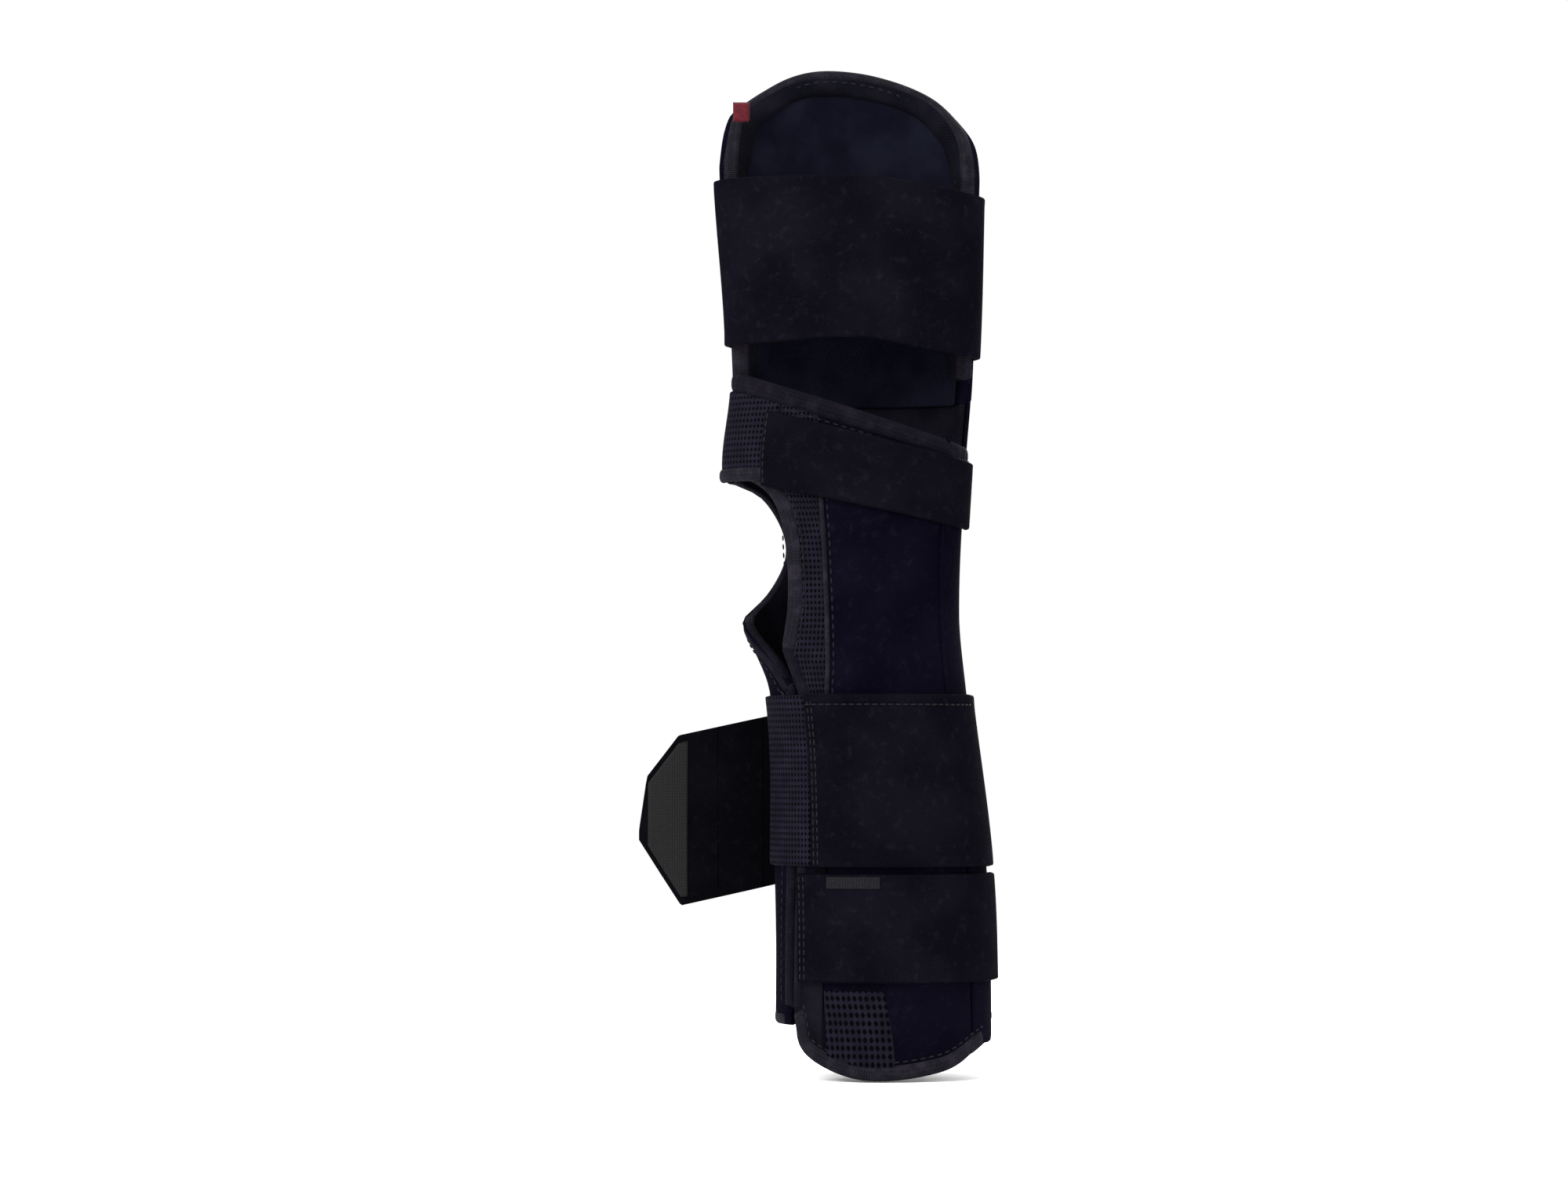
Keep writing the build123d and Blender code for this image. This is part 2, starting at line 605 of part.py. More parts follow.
tail_shoulder = TAIL_LENGTH - TAIL_POINT
tail_outline = Polyline(
    (0, tail_z(tail_low, 0)),
    (tail_shoulder - 1, tail_z(tail_low, tail_shoulder - 1)),
    (TAIL_LENGTH, tail_z(tail_low, TAIL_LENGTH) + 26),
    (TAIL_LENGTH - 3, tail_z(tail_top, TAIL_LENGTH) - 11),
    (tail_shoulder, tail_z(tail_top, tail_shoulder)),
    (0, tail_z(tail_top, 0)),
    close=True,
)
tail_shape = make_face(tail_outline)
tail_half = (TAIL_LENGTH - TAIL_ROOT) / 2
tail_folds = (0.0, TAIL_ROOT, TAIL_ROOT + tail_half, TAIL_LENGTH + SEAM_GAP)
tail_names = ("strap_tail_root", "strap_tail_middle", "strap_tail_tip")


def tail_slice(shape, start, end, inner, outer):
    """A run of the tail, between two distances from its fold and two depths."""
    window = Pos((start + end) / 2, tail_mid_z) * Rectangle(end - start, FAR * 2)
    face = shape & window
    placed = tail_plane * face
    moved = Pos(*(tail_plane.z_dir * inner)) * placed
    return extrude(moved, amount=outer - inner, dir=tail_plane.z_dir)


for name, start, end in zip(tail_names, tail_folds, tail_folds[1:]):
    parts[name] = tail_slice(tail_shape, start + SEAM_GAP / 2, end - SEAM_GAP / 2, -STRAP, 0)
hook_shape = offset(tail_shape, amount=-TAIL_HOOK_INSET)
parts["tail_hook_patch"] = tail_slice(
    hook_shape,
    tail_folds[2] + SEAM_GAP / 2 + 0.5,
    TAIL_LENGTH,
    -STRAP - LAYER_GAP / 2 - HOOK,
    -STRAP - LAYER_GAP / 2,
)

os.makedirs("parts", exist_ok=True)
for name, shape in parts.items():
    export_step(shape, f"parts/{name}.step")


def report_hinge(label, x, z_low, z_high):
    """Prints a strap's fold line, which lies just outside its outer face."""
    low, high = (surface_y(x, z, strap_out, strap_out, False) - BODY_GAP for z in (z_low, z_high))
    print(label, [round(v, 2) for v in (x, low, z_low)], "to", [round(v, 2) for v in (x, high, z_high)])


print("flap fold line x", round(ulnar_x(NARROW_STRAP_Z) + strap_out + 1, 2), "y 0")
report_hinge("narrow strap fold", narrow_hinge_x, narrow_low, narrow_high)
report_hinge("palm strap fold", palm_hinge_x, thumb_top_z - 4, thumb_top_z + 20.5)
report_hinge("finger strap fold", finger_hinge_x, finger_low, finger_high)
for fold in tail_folds[:3]:
    at = tail_plane.origin + tail_plane.x_dir * fold
    print("tail fold", round(at.X, 2), round(at.Y, 2))
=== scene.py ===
# %% [markdown]
# # A resting wrist and finger splint, dressed in fabric
# The splint is a padded gutter under the palm with a dished tray for the fingers, and a flap over the
# back of the hand that straps close. The CAD model fixes every size and every fold. This lesson sews
# the cloth round it: each panel is a patch drawn on the limb's own oval form, so that neighbours meet
# without fitting, and each seam is a tape or a row of stitches that follows the same form.

# %% Load the frame
import bpy
import bmesh
import numpy as np
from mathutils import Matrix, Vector


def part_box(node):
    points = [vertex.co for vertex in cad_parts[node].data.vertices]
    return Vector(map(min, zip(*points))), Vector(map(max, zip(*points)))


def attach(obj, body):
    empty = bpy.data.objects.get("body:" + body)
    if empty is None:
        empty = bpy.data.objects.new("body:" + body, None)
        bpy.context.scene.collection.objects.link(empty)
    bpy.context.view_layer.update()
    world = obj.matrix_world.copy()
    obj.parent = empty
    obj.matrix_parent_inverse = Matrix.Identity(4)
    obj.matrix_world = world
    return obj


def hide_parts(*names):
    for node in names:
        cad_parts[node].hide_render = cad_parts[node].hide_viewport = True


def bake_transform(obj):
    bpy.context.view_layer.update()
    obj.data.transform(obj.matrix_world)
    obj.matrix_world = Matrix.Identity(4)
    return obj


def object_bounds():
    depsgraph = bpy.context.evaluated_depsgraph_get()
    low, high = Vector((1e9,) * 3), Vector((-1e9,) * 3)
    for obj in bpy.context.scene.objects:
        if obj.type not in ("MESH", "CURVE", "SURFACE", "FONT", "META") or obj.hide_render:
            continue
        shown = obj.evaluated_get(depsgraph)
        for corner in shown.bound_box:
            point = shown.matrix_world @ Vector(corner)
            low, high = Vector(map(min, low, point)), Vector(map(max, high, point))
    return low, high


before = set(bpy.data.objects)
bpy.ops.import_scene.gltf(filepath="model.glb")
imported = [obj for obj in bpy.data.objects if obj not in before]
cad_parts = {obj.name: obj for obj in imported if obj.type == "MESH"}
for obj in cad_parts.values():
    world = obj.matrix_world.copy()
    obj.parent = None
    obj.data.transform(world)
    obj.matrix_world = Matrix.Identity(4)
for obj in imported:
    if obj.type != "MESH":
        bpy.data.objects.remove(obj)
cad_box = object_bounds()
MM = 0.001
print("CAD box", [[round(v, 4) for v in corner] for corner in cad_box])

# %% [markdown]
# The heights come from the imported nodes: each strap says where it starts and ends. The limb itself is
# a stack of ovals, with a half width and a half depth at each station, as a dressmaker's block has.
# A smooth curve through the stations gives the oval at any height.

# %% Heights and the limb's form
def span(node, axis=2):
    """A node's lowest and highest coordinate along an axis, in millimetres."""
    low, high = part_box(node)
    return low[axis] / MM, high[axis] / MM


cuff_low = span("dorsal_lining")[0]
narrow_low, narrow_high = span("narrow_strap")
wide_low, wrist = span("wide_strap_dorsal")
finger_low, finger_high = span("finger_strap")
gutter_low, gutter_high = span("palmar_gutter_lining")
tray_tip = span("tray_pad")[1] + 0.2
tray_low = span("tray_pad")[0]
thumb_floor = wrist + 15
thumb_top = gutter_high - 29
distal = gutter_high + 6

STATIONS = np.array([
    # height, centre across, centre in depth, half width, half depth
    (-16, 0, 0, 33.6, 27),
    (wide_low - 6, -1, 0, 32.8, 26.5),
    (wrist, -5.5, -0.5, 30, 23.5),
    (thumb_floor + 13, -12, -2, 34, 21),
    (thumb_top + 4, -13.5, -4, 37.6, 17),
    (distal, -11, -3, 37.4, 15),
    (finger_high, -12, 0, 40.6, 13),
    (tray_tip - 12.8, -12, 1, 40.6, 9.5),
    (tray_tip + 2, -12, 3, 40.6, 3.5),
])


def station_slopes(rows):
    """Rate of change at each station, from its neighbours."""
    padded = np.vstack([rows[:1], rows, rows[-1:]])
    rise = padded[2:] - padded[:-2]
    return rise / rise[:, :1]


def limb(z):
    """Centre across, centre in depth, half width and half depth at the heights z."""
    z = np.asarray(z, float)
    slopes = station_slopes(STATIONS)
    index = np.clip(np.searchsorted(STATIONS[:, 0], z) - 1, 0, len(STATIONS) - 2)
    low, high = STATIONS[index], STATIONS[index + 1]
    run = high[..., 0] - low[..., 0]
    t = ((z - low[..., 0]) / run)[..., None]
    run = run[..., None]
    rows = low * (2 * t**3 - 3 * t**2 + 1) + slopes[index] * run * (t**3 - 2 * t**2 + t)
    rows = rows + high * (3 * t**2 - 2 * t**3) + slopes[index + 1] * run * (t**3 - t**2)
    return rows[..., 1], rows[..., 2], rows[..., 3], rows[..., 4]


def on_form(angle, z, out, deeper=0.0):
    """Points round the limb, in millimetres: angle 0 is the little finger, -pi/2 the back of the hand."""
    across, depth, half_width, half_depth = limb(z)
    x = across + (half_width + out) * np.cos(angle)
    y = depth + (half_depth + out + deeper * np.maximum(np.sin(angle), 0)) * np.sin(angle)
    return np.stack(np.broadcast_arrays(x, y, z), axis=-1)


def outward(angle, z):
    """The form's outward normal."""
    across, depth, half_width, half_depth = limb(z)
    normal = np.stack(np.broadcast_arrays(np.cos(angle) / half_width, np.sin(angle) / half_depth, 0 * z), -1)
    return normal / np.linalg.norm(normal, axis=-1, keepdims=True)


def angle_at(x, z, out=0.0):
    """The angle round the limb where a front-view point (x, z) lies on the back of the hand."""
    across, depth, half_width, half_depth = limb(z)
    return -np.arccos(np.clip((x - across) / (half_width + out), -1, 1))


def radial(z, inset=0.0):
    """Front-view x of the thumb-side outline, moved in by an inset."""
    across, depth, half_width, half_depth = limb(z)
    return float(across - half_width + inset)


def ulnar(z, inset=0.0):
    """Front-view x of the little-finger-side outline, moved in by an inset."""
    across, depth, half_width, half_depth = limb(z)
    return float(across + half_width - inset)


print("wrist at", round(wrist, 1), "thumb opening", round(thumb_floor, 1), "to", round(thumb_top, 1))

# %% [markdown]
# Layers lie at fixed distances out from the limb: padding first, then face fabric, then straps. The
# same distances are in the CAD model, so a piece drawn at a layer never cuts its neighbour.

# %% Layers and working sizes
LINING = 2.2
SKIN_IN, SKIN_OUT = 2.3, 3.1
COVER_OUT = 4.0
STRAP_IN, STRAP_OUT = 4.8, 6.3
PLATE_RISE = 0.7
WRAP_LOW, WRAP_HIGH = 3.4, 6.6
ROUND = 36
wing_x = radial(wrist, WRAP_HIGH)
corner_z = narrow_low - 11
corner_x = radial(corner_z, WRAP_LOW)
notch_x = radial((thumb_floor + thumb_top) / 2, 15.5)


def distal_edge(x):
    """Height of the flap's slanting upper edge at front-view x."""
    return distal + 1.2 - 0.327 * (x - radial(distal))


print("layers from the limb out: skin", SKIN_OUT, "cover", COVER_OUT, "strap", STRAP_OUT)

# %% [markdown]
# ## Shader maths as plain expressions
# A pattern such as a weave is arithmetic on coordinates. Wrapping a node socket in a small class lets
# that arithmetic be written as an expression; each operator adds its Math node.

# %% Socket expressions and the material maker
class Flow:
    """A number, colour or vector that runs through a material's nodes."""

    def __init__(self, tree, socket):
        self.tree, self.socket = tree, socket

    def node(self, kind, settings=(), out=0, **inputs):
        """Adds a node: its settings first, then values or links on its sockets."""
        made = self.tree.nodes.new(kind)
        for key, value in dict(settings).items():
            setattr(made, key, value)
        for key, value in inputs.items():
            numbered = key[:2] == "in" and key[2:].isdigit()
            spot = made.inputs[int(key[2:]) if numbered else key.replace("_", " ")]
            if isinstance(value, Flow):
                self.tree.links.new(value.socket, spot)
            else:
                spot.default_value = value
        return Flow(self.tree, made.outputs[out])

    def maths(self, operation, *values):
        """One Math node on this socket and the values."""
        numbers = {f"in{place}": value for place, value in enumerate(values)}
        return self.node("ShaderNodeMath", {"operation": operation}, **numbers)

    def __add__(self, other): return self.maths("ADD", self, other)
    def __radd__(self, other): return self.maths("ADD", other, self)
    def __sub__(self, other): return self.maths("SUBTRACT", self, other)
    def __rsub__(self, other): return self.maths("SUBTRACT", other, self)
    def __mul__(self, other): return self.maths("MULTIPLY", self, other)

    def sine(self): return self.maths("SINE", self)

    def step(self, low, high):
        """0 below low, 1 above high, smooth between."""
        return self.node(
            "ShaderNodeMapRange", {"interpolation_type": "SMOOTHSTEP"}, Value=self, From_Min=low,
            From_Max=high,
        )


def rgba(colour):
    return (*colour, 1.0)


class Finish:
    """A material on a Principled shader, with its coordinates ready as flows."""

    def __init__(self, name, colour, roughness, sheen=0.0, sheen_tint=(1, 1, 1), specular=0.3, metallic=0.0):
        self.material = bpy.data.materials.new(name)
        self.material.use_nodes = True
        self.tree = self.material.node_tree
        self.shader = self.tree.nodes["Principled BSDF"]
        self.shader.inputs["Base Color"].default_value = rgba(colour)
        self.shader.inputs["Roughness"].default_value = roughness
        self.shader.inputs["Specular IOR Level"].default_value = specular
        self.shader.inputs["Metallic"].default_value = metallic
        self.shader.inputs["Sheen Weight"].default_value = sheen
        self.shader.inputs["Sheen Roughness"].default_value = 0.45
        self.shader.inputs["Sheen Tint"].default_value = rgba(sheen_tint)
        self.start = Flow(self.tree, None)
        self.place = self.start.node("ShaderNodeTexCoord", out=3)
        cloth = self.start.node("ShaderNodeUVMap", {"uv_map": "cloth"})
        self.across = cloth.node("ShaderNodeSeparateXYZ", Vector=cloth)
        self.along = Flow(self.tree, self.across.socket.node.outputs[1])

    def noise(self, size, detail=3.0, rough=0.6, stretch=(1, 1, 1)):
        """Noise whose blotches are about size millimetres, drawn in the object's own space."""
        scaled = self.start.node("ShaderNodeMapping", Vector=self.place, Scale=stretch)
        return self.start.node(
            "ShaderNodeTexNoise", Vector=scaled, Scale=1 / (size * MM), Detail=detail, Roughness=rough
        )

    def tint(self, mask, dark, light):
        """Colours the surface from dark to light by a mask."""
        mixed = self.start.node(
            "ShaderNodeMix", {"data_type": "RGBA"}, out=2, in0=mask, in6=rgba(dark), in7=rgba(light)
        )
        self.tree.links.new(mixed.socket, self.shader.inputs["Base Color"])
        return mixed

    def rough(self, value):
        self.tree.links.new(value.socket, self.shader.inputs["Roughness"])

    def relief(self, height, depth_mm, strength=1.0):
        """Raises the surface by height times depth_mm."""
        bumped = self.start.node("ShaderNodeBump", Height=height, Distance=depth_mm * MM, Strength=strength)
        self.tree.links.new(bumped.socket, self.shader.inputs["Normal"])


print("material maker ready")

# %% [markdown]
# ## The fabrics
# Everything is black, so what tells the fabrics apart is how they take the light. The loop fabric is
# brushed: a fine nap, cloudy where hooks have pulled at it. Strap webbing is the same nap over
# fine cross ribs. Binding tape is ribbed across its length. The lining is a tight brushed
# knit. Each pattern works in millimetres on the piece's own cloth map or in its own space.

# %% Loop fabric and strap webbing
def nap(finish, clouds, fuzz):
    """The height of a brushed pile: short fibres over slow clouds where the nap lies differently."""
    fibres = finish.noise(0.55, 4, 0.7, (1, 1, 0.6))
    pills = finish.noise(1.9, 2, 0.5)
    return fibres * fuzz + pills * clouds


def loop_finish(name, dark, light, ribs, rib_gap=1.1):
    finish = Finish(name, dark, 0.9, sheen=0.001, sheen_tint=(0.6, 0.55, 1.0), specular=0.008)
    slow = finish.noise(24, 2, 0.5).step(0.35, 0.68)
    worn = finish.noise(3.2, 4, 0.65).step(0.52, 0.74)
    fibres = finish.noise(0.5, 3, 0.7)
    rib = (finish.along * (2 * np.pi / (rib_gap * MM))).sine() * 0.5 + 0.5
    finish.tint((slow * 0.22 + worn * 0.33 + fibres * 0.45), dark, light)
    finish.rough(0.82 + fibres * 0.16)
    finish.relief(nap(finish, 0.35, 0.65) + rib * ribs, 0.22)
    return finish.material


loop_fabric = loop_finish("loop_fabric", (0.0002, 0.0001, 0.0014), (0.0046, 0.0036, 0.0088), 0.12)
strap_fabric = loop_finish("strap_fabric", (0.0003, 0.0002, 0.0012), (0.0062, 0.0055, 0.0092), 0.3, 0.9)
tail_fabric = loop_finish("tail_back_fabric", (0.0004, 0.0004, 0.0007), (0.0042, 0.0038, 0.0056), 0.25, 0.9)
print("brushed fabrics", [made.name for made in (loop_fabric, strap_fabric, tail_fabric)])

# %% [markdown]
# Binding tape comes in two dyes, because a tape that is rubbed turns greyer. The padded lining is the
# softest cloth here and the tray's lining the smoothest.

# %% Binding tape, padded lining and smooth tray lining
def binding_finish(name, dark, light):
    finish = Finish(
        name, (0.01, 0.0095, 0.013), 0.8, sheen=0.008, sheen_tint=(0.75, 0.73, 0.95), specular=0.03,
    )
    rib = (finish.along * (2 * np.pi / (0.75 * MM))).sine() * 0.5 + 0.5
    cross = (finish.across * (2 * np.pi / (0.8 * MM))).sine() * 0.5 + 0.5
    weave = rib * 0.7 + cross * 0.3
    wear = finish.noise(5, 3, 0.6).step(0.4, 0.75)
    finish.tint(weave * 0.5 + wear * 0.5, dark, light)
    finish.relief(weave, 0.16)
    return finish.material


def lining_finish():
    finish = Finish(
        "padded_lining", (0.003, 0.003, 0.005), 0.92, sheen=0.004, sheen_tint=(0.7, 0.7, 0.9),
        specular=0.02,
    )
    wales = (finish.across * (2 * np.pi / (1.0 * MM))).sine()
    knit = wales * (finish.along * (2 * np.pi / (1.3 * MM))).sine()
    cloud = finish.noise(14, 2, 0.5).step(0.35, 0.7)
    fuzz = finish.noise(0.6, 3, 0.7)
    finish.tint(cloud * 0.45 + fuzz * 0.4 + knit * 0.15, (0.0008, 0.0008, 0.0018), (0.0064, 0.006, 0.0098))
    finish.relief(fuzz * 0.6 + knit * 0.3, 0.2)
    return finish.material


def tray_lining_finish():
    finish = Finish(
        "smooth_tray_lining", (0.003, 0.0032, 0.006), 0.8, sheen=0.004, sheen_tint=(0.62, 0.7, 1.0),
        specular=0.02,
    )
    twill = ((finish.across + finish.along) * (2 * np.pi / (0.85 * MM))).sine() * 0.5 + 0.5
    cloud = finish.noise(18, 3, 0.55).step(0.3, 0.72)
    finish.tint(cloud * 0.7 + twill * 0.3, (0.001, 0.0011, 0.0034), (0.0048, 0.0052, 0.0105))
    finish.relief(twill * 0.5 + finish.noise(0.8, 3) * 0.5, 0.14)
    return finish.material


binding_tape = binding_finish("binding_tape", (0.0026, 0.0022, 0.0038), (0.0145, 0.0128, 0.0185))
dark_binding = binding_finish("dark_binding_tape", (0.0008, 0.0006, 0.0017), (0.0068, 0.0056, 0.0102))
padded_lining = lining_finish()
tray_lining = tray_lining_finish()
print(
    "bindings and linings",
    [made.name for made in (binding_tape, dark_binding, padded_lining, tray_lining)],
)

# %% [markdown]
# Spacer mesh is open: two crossing waves multiply into staggered holes, and the holes' near-black colour is
# painted shade down inside them. Hook tape is the only fabric with a shine, and the plate inside is bare
# metal.

# %% Spacer mesh, hooks, thread, red tape and the plate
def mesh_finish(name, gap_mm, low, high):
    """Knitted spacer mesh: pale yarns round rows of staggered holes, which are painted dark as the shade
    inside them.
    """
    finish = Finish(
        name, (0.005, 0.005, 0.007), 0.8, sheen=0.004, sheen_tint=(0.75, 0.74, 0.95), specular=0.02,
    )
    gap = gap_mm * MM
    bend = finish.noise(6, 2, 0.5) * 1.6
    sideways, upward = finish.across * (2 * np.pi / gap / 1.25), finish.along * (2 * np.pi / gap / 1.75)
    one = (sideways + upward + bend).sine()
    two = (sideways - upward + bend).sine()
    # the holes are real openings in the knit; the near-black colour that this mask gives them is painted
    # shade
    hole = (one * two).step(low, high)
    yarn = (finish.along * (2 * np.pi / (0.5 * MM))).sine() * 0.5 + 0.5
    cloud = finish.noise(7, 3, 0.6).step(0.35, 0.7)
    finish.tint(
        (1 - hole) * (0.5 + cloud * 0.35 + yarn * 0.15), (0.0002, 0.0001, 0.0008), (0.0078, 0.0067, 0.0125),
    )
    finish.relief((1 - hole) * 0.85 + yarn * 0.15, 0.45)
    return finish.material


def hook_finish():
    """Hook tape: rows of stiff little hooks, a dull shine between them."""
    finish = Finish("hook_tape", (0.006, 0.006, 0.0065), 0.6, specular=0.15)
    spot = finish.place.node("ShaderNodeSeparateXYZ", Vector=finish.place)
    up = Flow(finish.tree, spot.socket.node.outputs[2])
    rows = (up * (2 * np.pi / (1.0 * MM))).sine() * 0.5 + 0.5
    columns = (spot * (2 * np.pi / (0.8 * MM))).sine() * 0.5 + 0.5
    hooks = (rows * columns).step(0.25, 0.8)
    finish.tint(hooks, (0.002, 0.0021, 0.002), (0.009, 0.0094, 0.009))
    finish.rough(0.62 - hooks * 0.2)
    finish.relief(hooks, 0.4)
    return finish.material


def thread_finish(name, dark, light, twist=0.6):
    finish = Finish(name, light, 0.7, sheen=0.02, specular=0.12)
    strand = finish.noise(twist, 2, 0.5, (1, 1, 2.5))
    finish.tint(strand.step(0.3, 0.7), dark, light)
    finish.relief(strand, 0.1)
    return finish.material


def plate_finish():
    finish = Finish("rolled_aluminium", (0.72, 0.73, 0.75), 0.38, metallic=1.0, specular=0.5)
    grain = finish.noise(1.2, 4, 0.6, (1, 1, 0.05))
    finish.tint(grain.step(0.3, 0.7), (0.6, 0.61, 0.63), (0.8, 0.81, 0.83))
    finish.rough(0.3 + grain * 0.25)
    finish.relief(grain, 0.05)
    return finish.material


spacer_mesh = mesh_finish("spacer_mesh", 2.3, 0.05, 0.7)
window_mesh = mesh_finish("window_mesh", 3.2, 0.02, 0.4)
hook_tape = hook_finish()
thread = thread_finish("sewing_thread", (0.001, 0.0009, 0.0016), (0.0052, 0.0048, 0.0072))
red_tape = thread_finish("red_tape", (0.02, 0.0012, 0.003), (0.075, 0.0024, 0.007))
plate_metal = plate_finish()
print("materials", len(bpy.data.materials))

# %% [markdown]
# ## Patches of cloth
# A panel is a grid of places on the limb's form, given as an angle round it and a height. Its outer face
# lies one thickness out from its inner face, and rolls down to meet it at the edges, as a turned hem does.
# That closes the shell with no side walls. The cloth's own map is its lengths along and across.

# %% Grids, cloth shells and finished objects
COLLECTION = bpy.context.scene.collection


def finished(name, points, faces, material, body=None, stands_for=(), slot=None, maps=None):
    """A closed mesh object from points in millimetres, shaded smooth, with its faces turned outwards."""
    mesh = bpy.data.meshes.new(name)
    mesh.from_pydata((np.asarray(points) * MM).tolist(), [], faces)
    mesh.validate()
    if maps is not None:
        layer = mesh.uv_layers.new(name="cloth")
        corners = np.empty(len(mesh.loops), int)
        mesh.loops.foreach_get("vertex_index", corners)
        layer.data.foreach_set("uv", (np.asarray(maps)[corners] * MM).ravel())
    turned = bmesh.new()
    turned.from_mesh(mesh)
    if turned.calc_volume(signed=True) < 0:
        bmesh.ops.reverse_faces(turned, faces=turned.faces[:])
    turned.to_mesh(mesh)
    turned.free()
    mesh.shade_smooth()
    piece = bpy.data.objects.new(name, mesh)
    COLLECTION.objects.link(piece)
    piece.data.materials.append(material)
    settle(piece, body, stands_for)
    return piece


def settle(piece, body, stands_for=()):
    """Hangs the piece on the body that it rides on, and hides the CAD parts that it stands for."""
    if stands_for:
        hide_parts(*stands_for)
    if body:
        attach(piece, body)


def eased(count, ends=0.6):
    """Shares from 0 to 1, closer together at both ends, where edges roll."""
    t = np.linspace(0, 1, count)
    return t * (1 - ends) + ends * (0.5 - 0.5 * np.cos(np.pi * t))


def lengths(points, axis):
    """Running length along one axis of a grid of points."""
    steps = np.linalg.norm(np.diff(points, axis=axis), axis=-1)
    start = np.zeros_like(np.take(steps, [0], axis))
    return np.cumsum(np.concatenate([start, steps], axis), axis)


def grid_faces(rows, columns, offset=0, flip=False):
    corner = (np.arange(rows - 1)[:, None] * columns + np.arange(columns - 1)).ravel() + offset
    ring = np.stack([corner, corner + 1, corner + columns + 1, corner + columns], 1)
    return (ring[:, ::-1] if flip else ring).tolist()


def unevenness(angle, z, size, seed):
    """Gentle waves of worn cloth, between -1 and 1."""
    turn = seed * 1.7
    around = angle * ROUND / size
    up = z / size
    waves = np.sin(around * 1.1 + up * 0.6 + turn) + np.sin(around * 0.5 - up * 1.3 + turn * 2.1)
    return (waves + np.sin(around * 1.9 + up * 1.7 + turn * 0.7) * 0.6) / 2.6


def shell(name, inner_points, outer_points, material, maps, **rest):
    """Two grids of one size, joined round their rims, where they meet."""
    rows, columns = inner_points.shape[:2]
    index = np.arange(rows * columns).reshape(rows, columns)
    rim = np.ones((rows, columns), bool)
    rim[1:-1, 1:-1] = False
    lower = index + rows * columns
    lower[rim] = index[rim]
    every = np.concatenate([outer_points.reshape(-1, 3), inner_points.reshape(-1, 3)])
    faces = grid_faces(rows, columns)
    for quad in grid_faces(rows, columns, flip=True):
        faces.append([int(lower.ravel()[corner]) for corner in quad])
    used = sorted({corner for face in faces for corner in face})
    new = {old: place for place, old in enumerate(used)}
    faces = [[new[corner] for corner in face] for face in faces]
    both = np.concatenate([maps.reshape(-1, 2), maps.reshape(-1, 2)])
    return finished(name, every[used], faces, material, maps=both[used], **rest)


def cloth(
    name, angle, z, inner, outer, material, edge=1.2, deeper=0.0, wave=0.0, wave_size=16, seed=1, crown=0.0,
    **rest,
):
    """A panel between two layers over a grid of angles and heights."""
    base = on_form(angle, z, inner, deeper)
    across, along = lengths(base, 1), lengths(base, 0)
    near = np.minimum(
        np.minimum(across, across[:, -1:] - across), np.minimum(along, along[-1:] - along)
    )
    roll = np.sqrt(np.clip(1 - (1 - np.clip(near / edge, 0, 1)) ** 2, 0, 1))
    lift = (outer - inner) * roll + crown * np.clip(near / 14, 0, 1) ** 0.6
    lift = lift + wave * unevenness(angle, z, wave_size, seed) * np.clip(near / 5, 0, 1)
    top = on_form(angle, z, inner + lift, deeper)
    maps = np.stack([across - across[:, -1:] / 2, z], -1)
    made = shell(name, base, top, material, maps, **rest)
    size = (float(across[:, -1].mean()), float(along[-1].mean()))
    made["cut_width"], made["cut_length"] = size[0] * MM, size[1] * MM
    return made


def rows_between(left, right, low, high, rows=60, columns=40, even=0.6):
    """Angles and heights between two seams, each a line of (angle, height) points going up.
    low and high give the bottom and top edge's height at an angle."""
    def share(line):
        return (line[:, 1] - low(line[:, 0])) / (high(line[:, 0]) - low(line[:, 0]))

    up = eased(rows, even)[:, None]
    sides = []
    for line in (left, right):
        shares = np.maximum.accumulate(share(line) + np.arange(len(line)) * 1e-6)
        sides.append(np.interp(up, shares, line[:, 0]))
    angle = sides[0] + (sides[1] - sides[0]) * eased(columns, even)
    return angle, low(angle) + (high(angle) - low(angle)) * up


def smooth_line(points, count=80):
    """A curve through the points, Catmull-Rom, evenly spaced along its length."""
    points = np.asarray(points, float)
    padded = np.vstack([2 * points[0] - points[1], points, 2 * points[-1] - points[-2]])
    pieces = []
    for a, b, c, d in zip(padded, padded[1:], padded[2:], padded[3:]):
        t = np.linspace(0, 1, 24, endpoint=False)[:, None]
        rise, bend, twist = c - a, 2 * a - 5 * b + 4 * c - d, 3 * b - a - 3 * c + d
        pieces.append(0.5 * (2 * b + rise * t + bend * t**2 + twist * t**3))
    fine = np.vstack([*pieces, points[-1:]])
    return evenly(fine, count)


def evenly(line, count):
    run = np.concatenate([[0], np.cumsum(np.linalg.norm(np.diff(line, axis=0), axis=1))])
    spots = np.linspace(0, run[-1], count)
    return np.stack([np.interp(spots, run, line[:, axis]) for axis in range(line.shape[1])], 1)


def even_seam(line, count=150):
    """A line of (angle, height) points spaced evenly over the cloth."""
    return evenly(line * [ROUND, 1], count) / [ROUND, 1]


def round_limb(front_line, out=3.0):
    """A front-view line of (x, height) points as (angle, height) points."""
    line = np.asarray(front_line, float)
    return np.stack([angle_at(line[:, 0], line[:, 1], out), line[:, 1]], 1)


def level(height):
    """An edge of one height at every angle."""
    return lambda angle: np.full_like(angle, height)


def column(at, low, high, count=40):
    """A line of (angle, height) points straight up the limb at one angle."""
    return np.stack([np.full(count, at), np.linspace(low, high, count)], 1)


def row(at, first, last, count=80):
    """A line of (angle, height) points between two angles at heights given by a function."""
    angles = np.linspace(first, last, count)
    return np.stack([angles, at(angles)], 1)


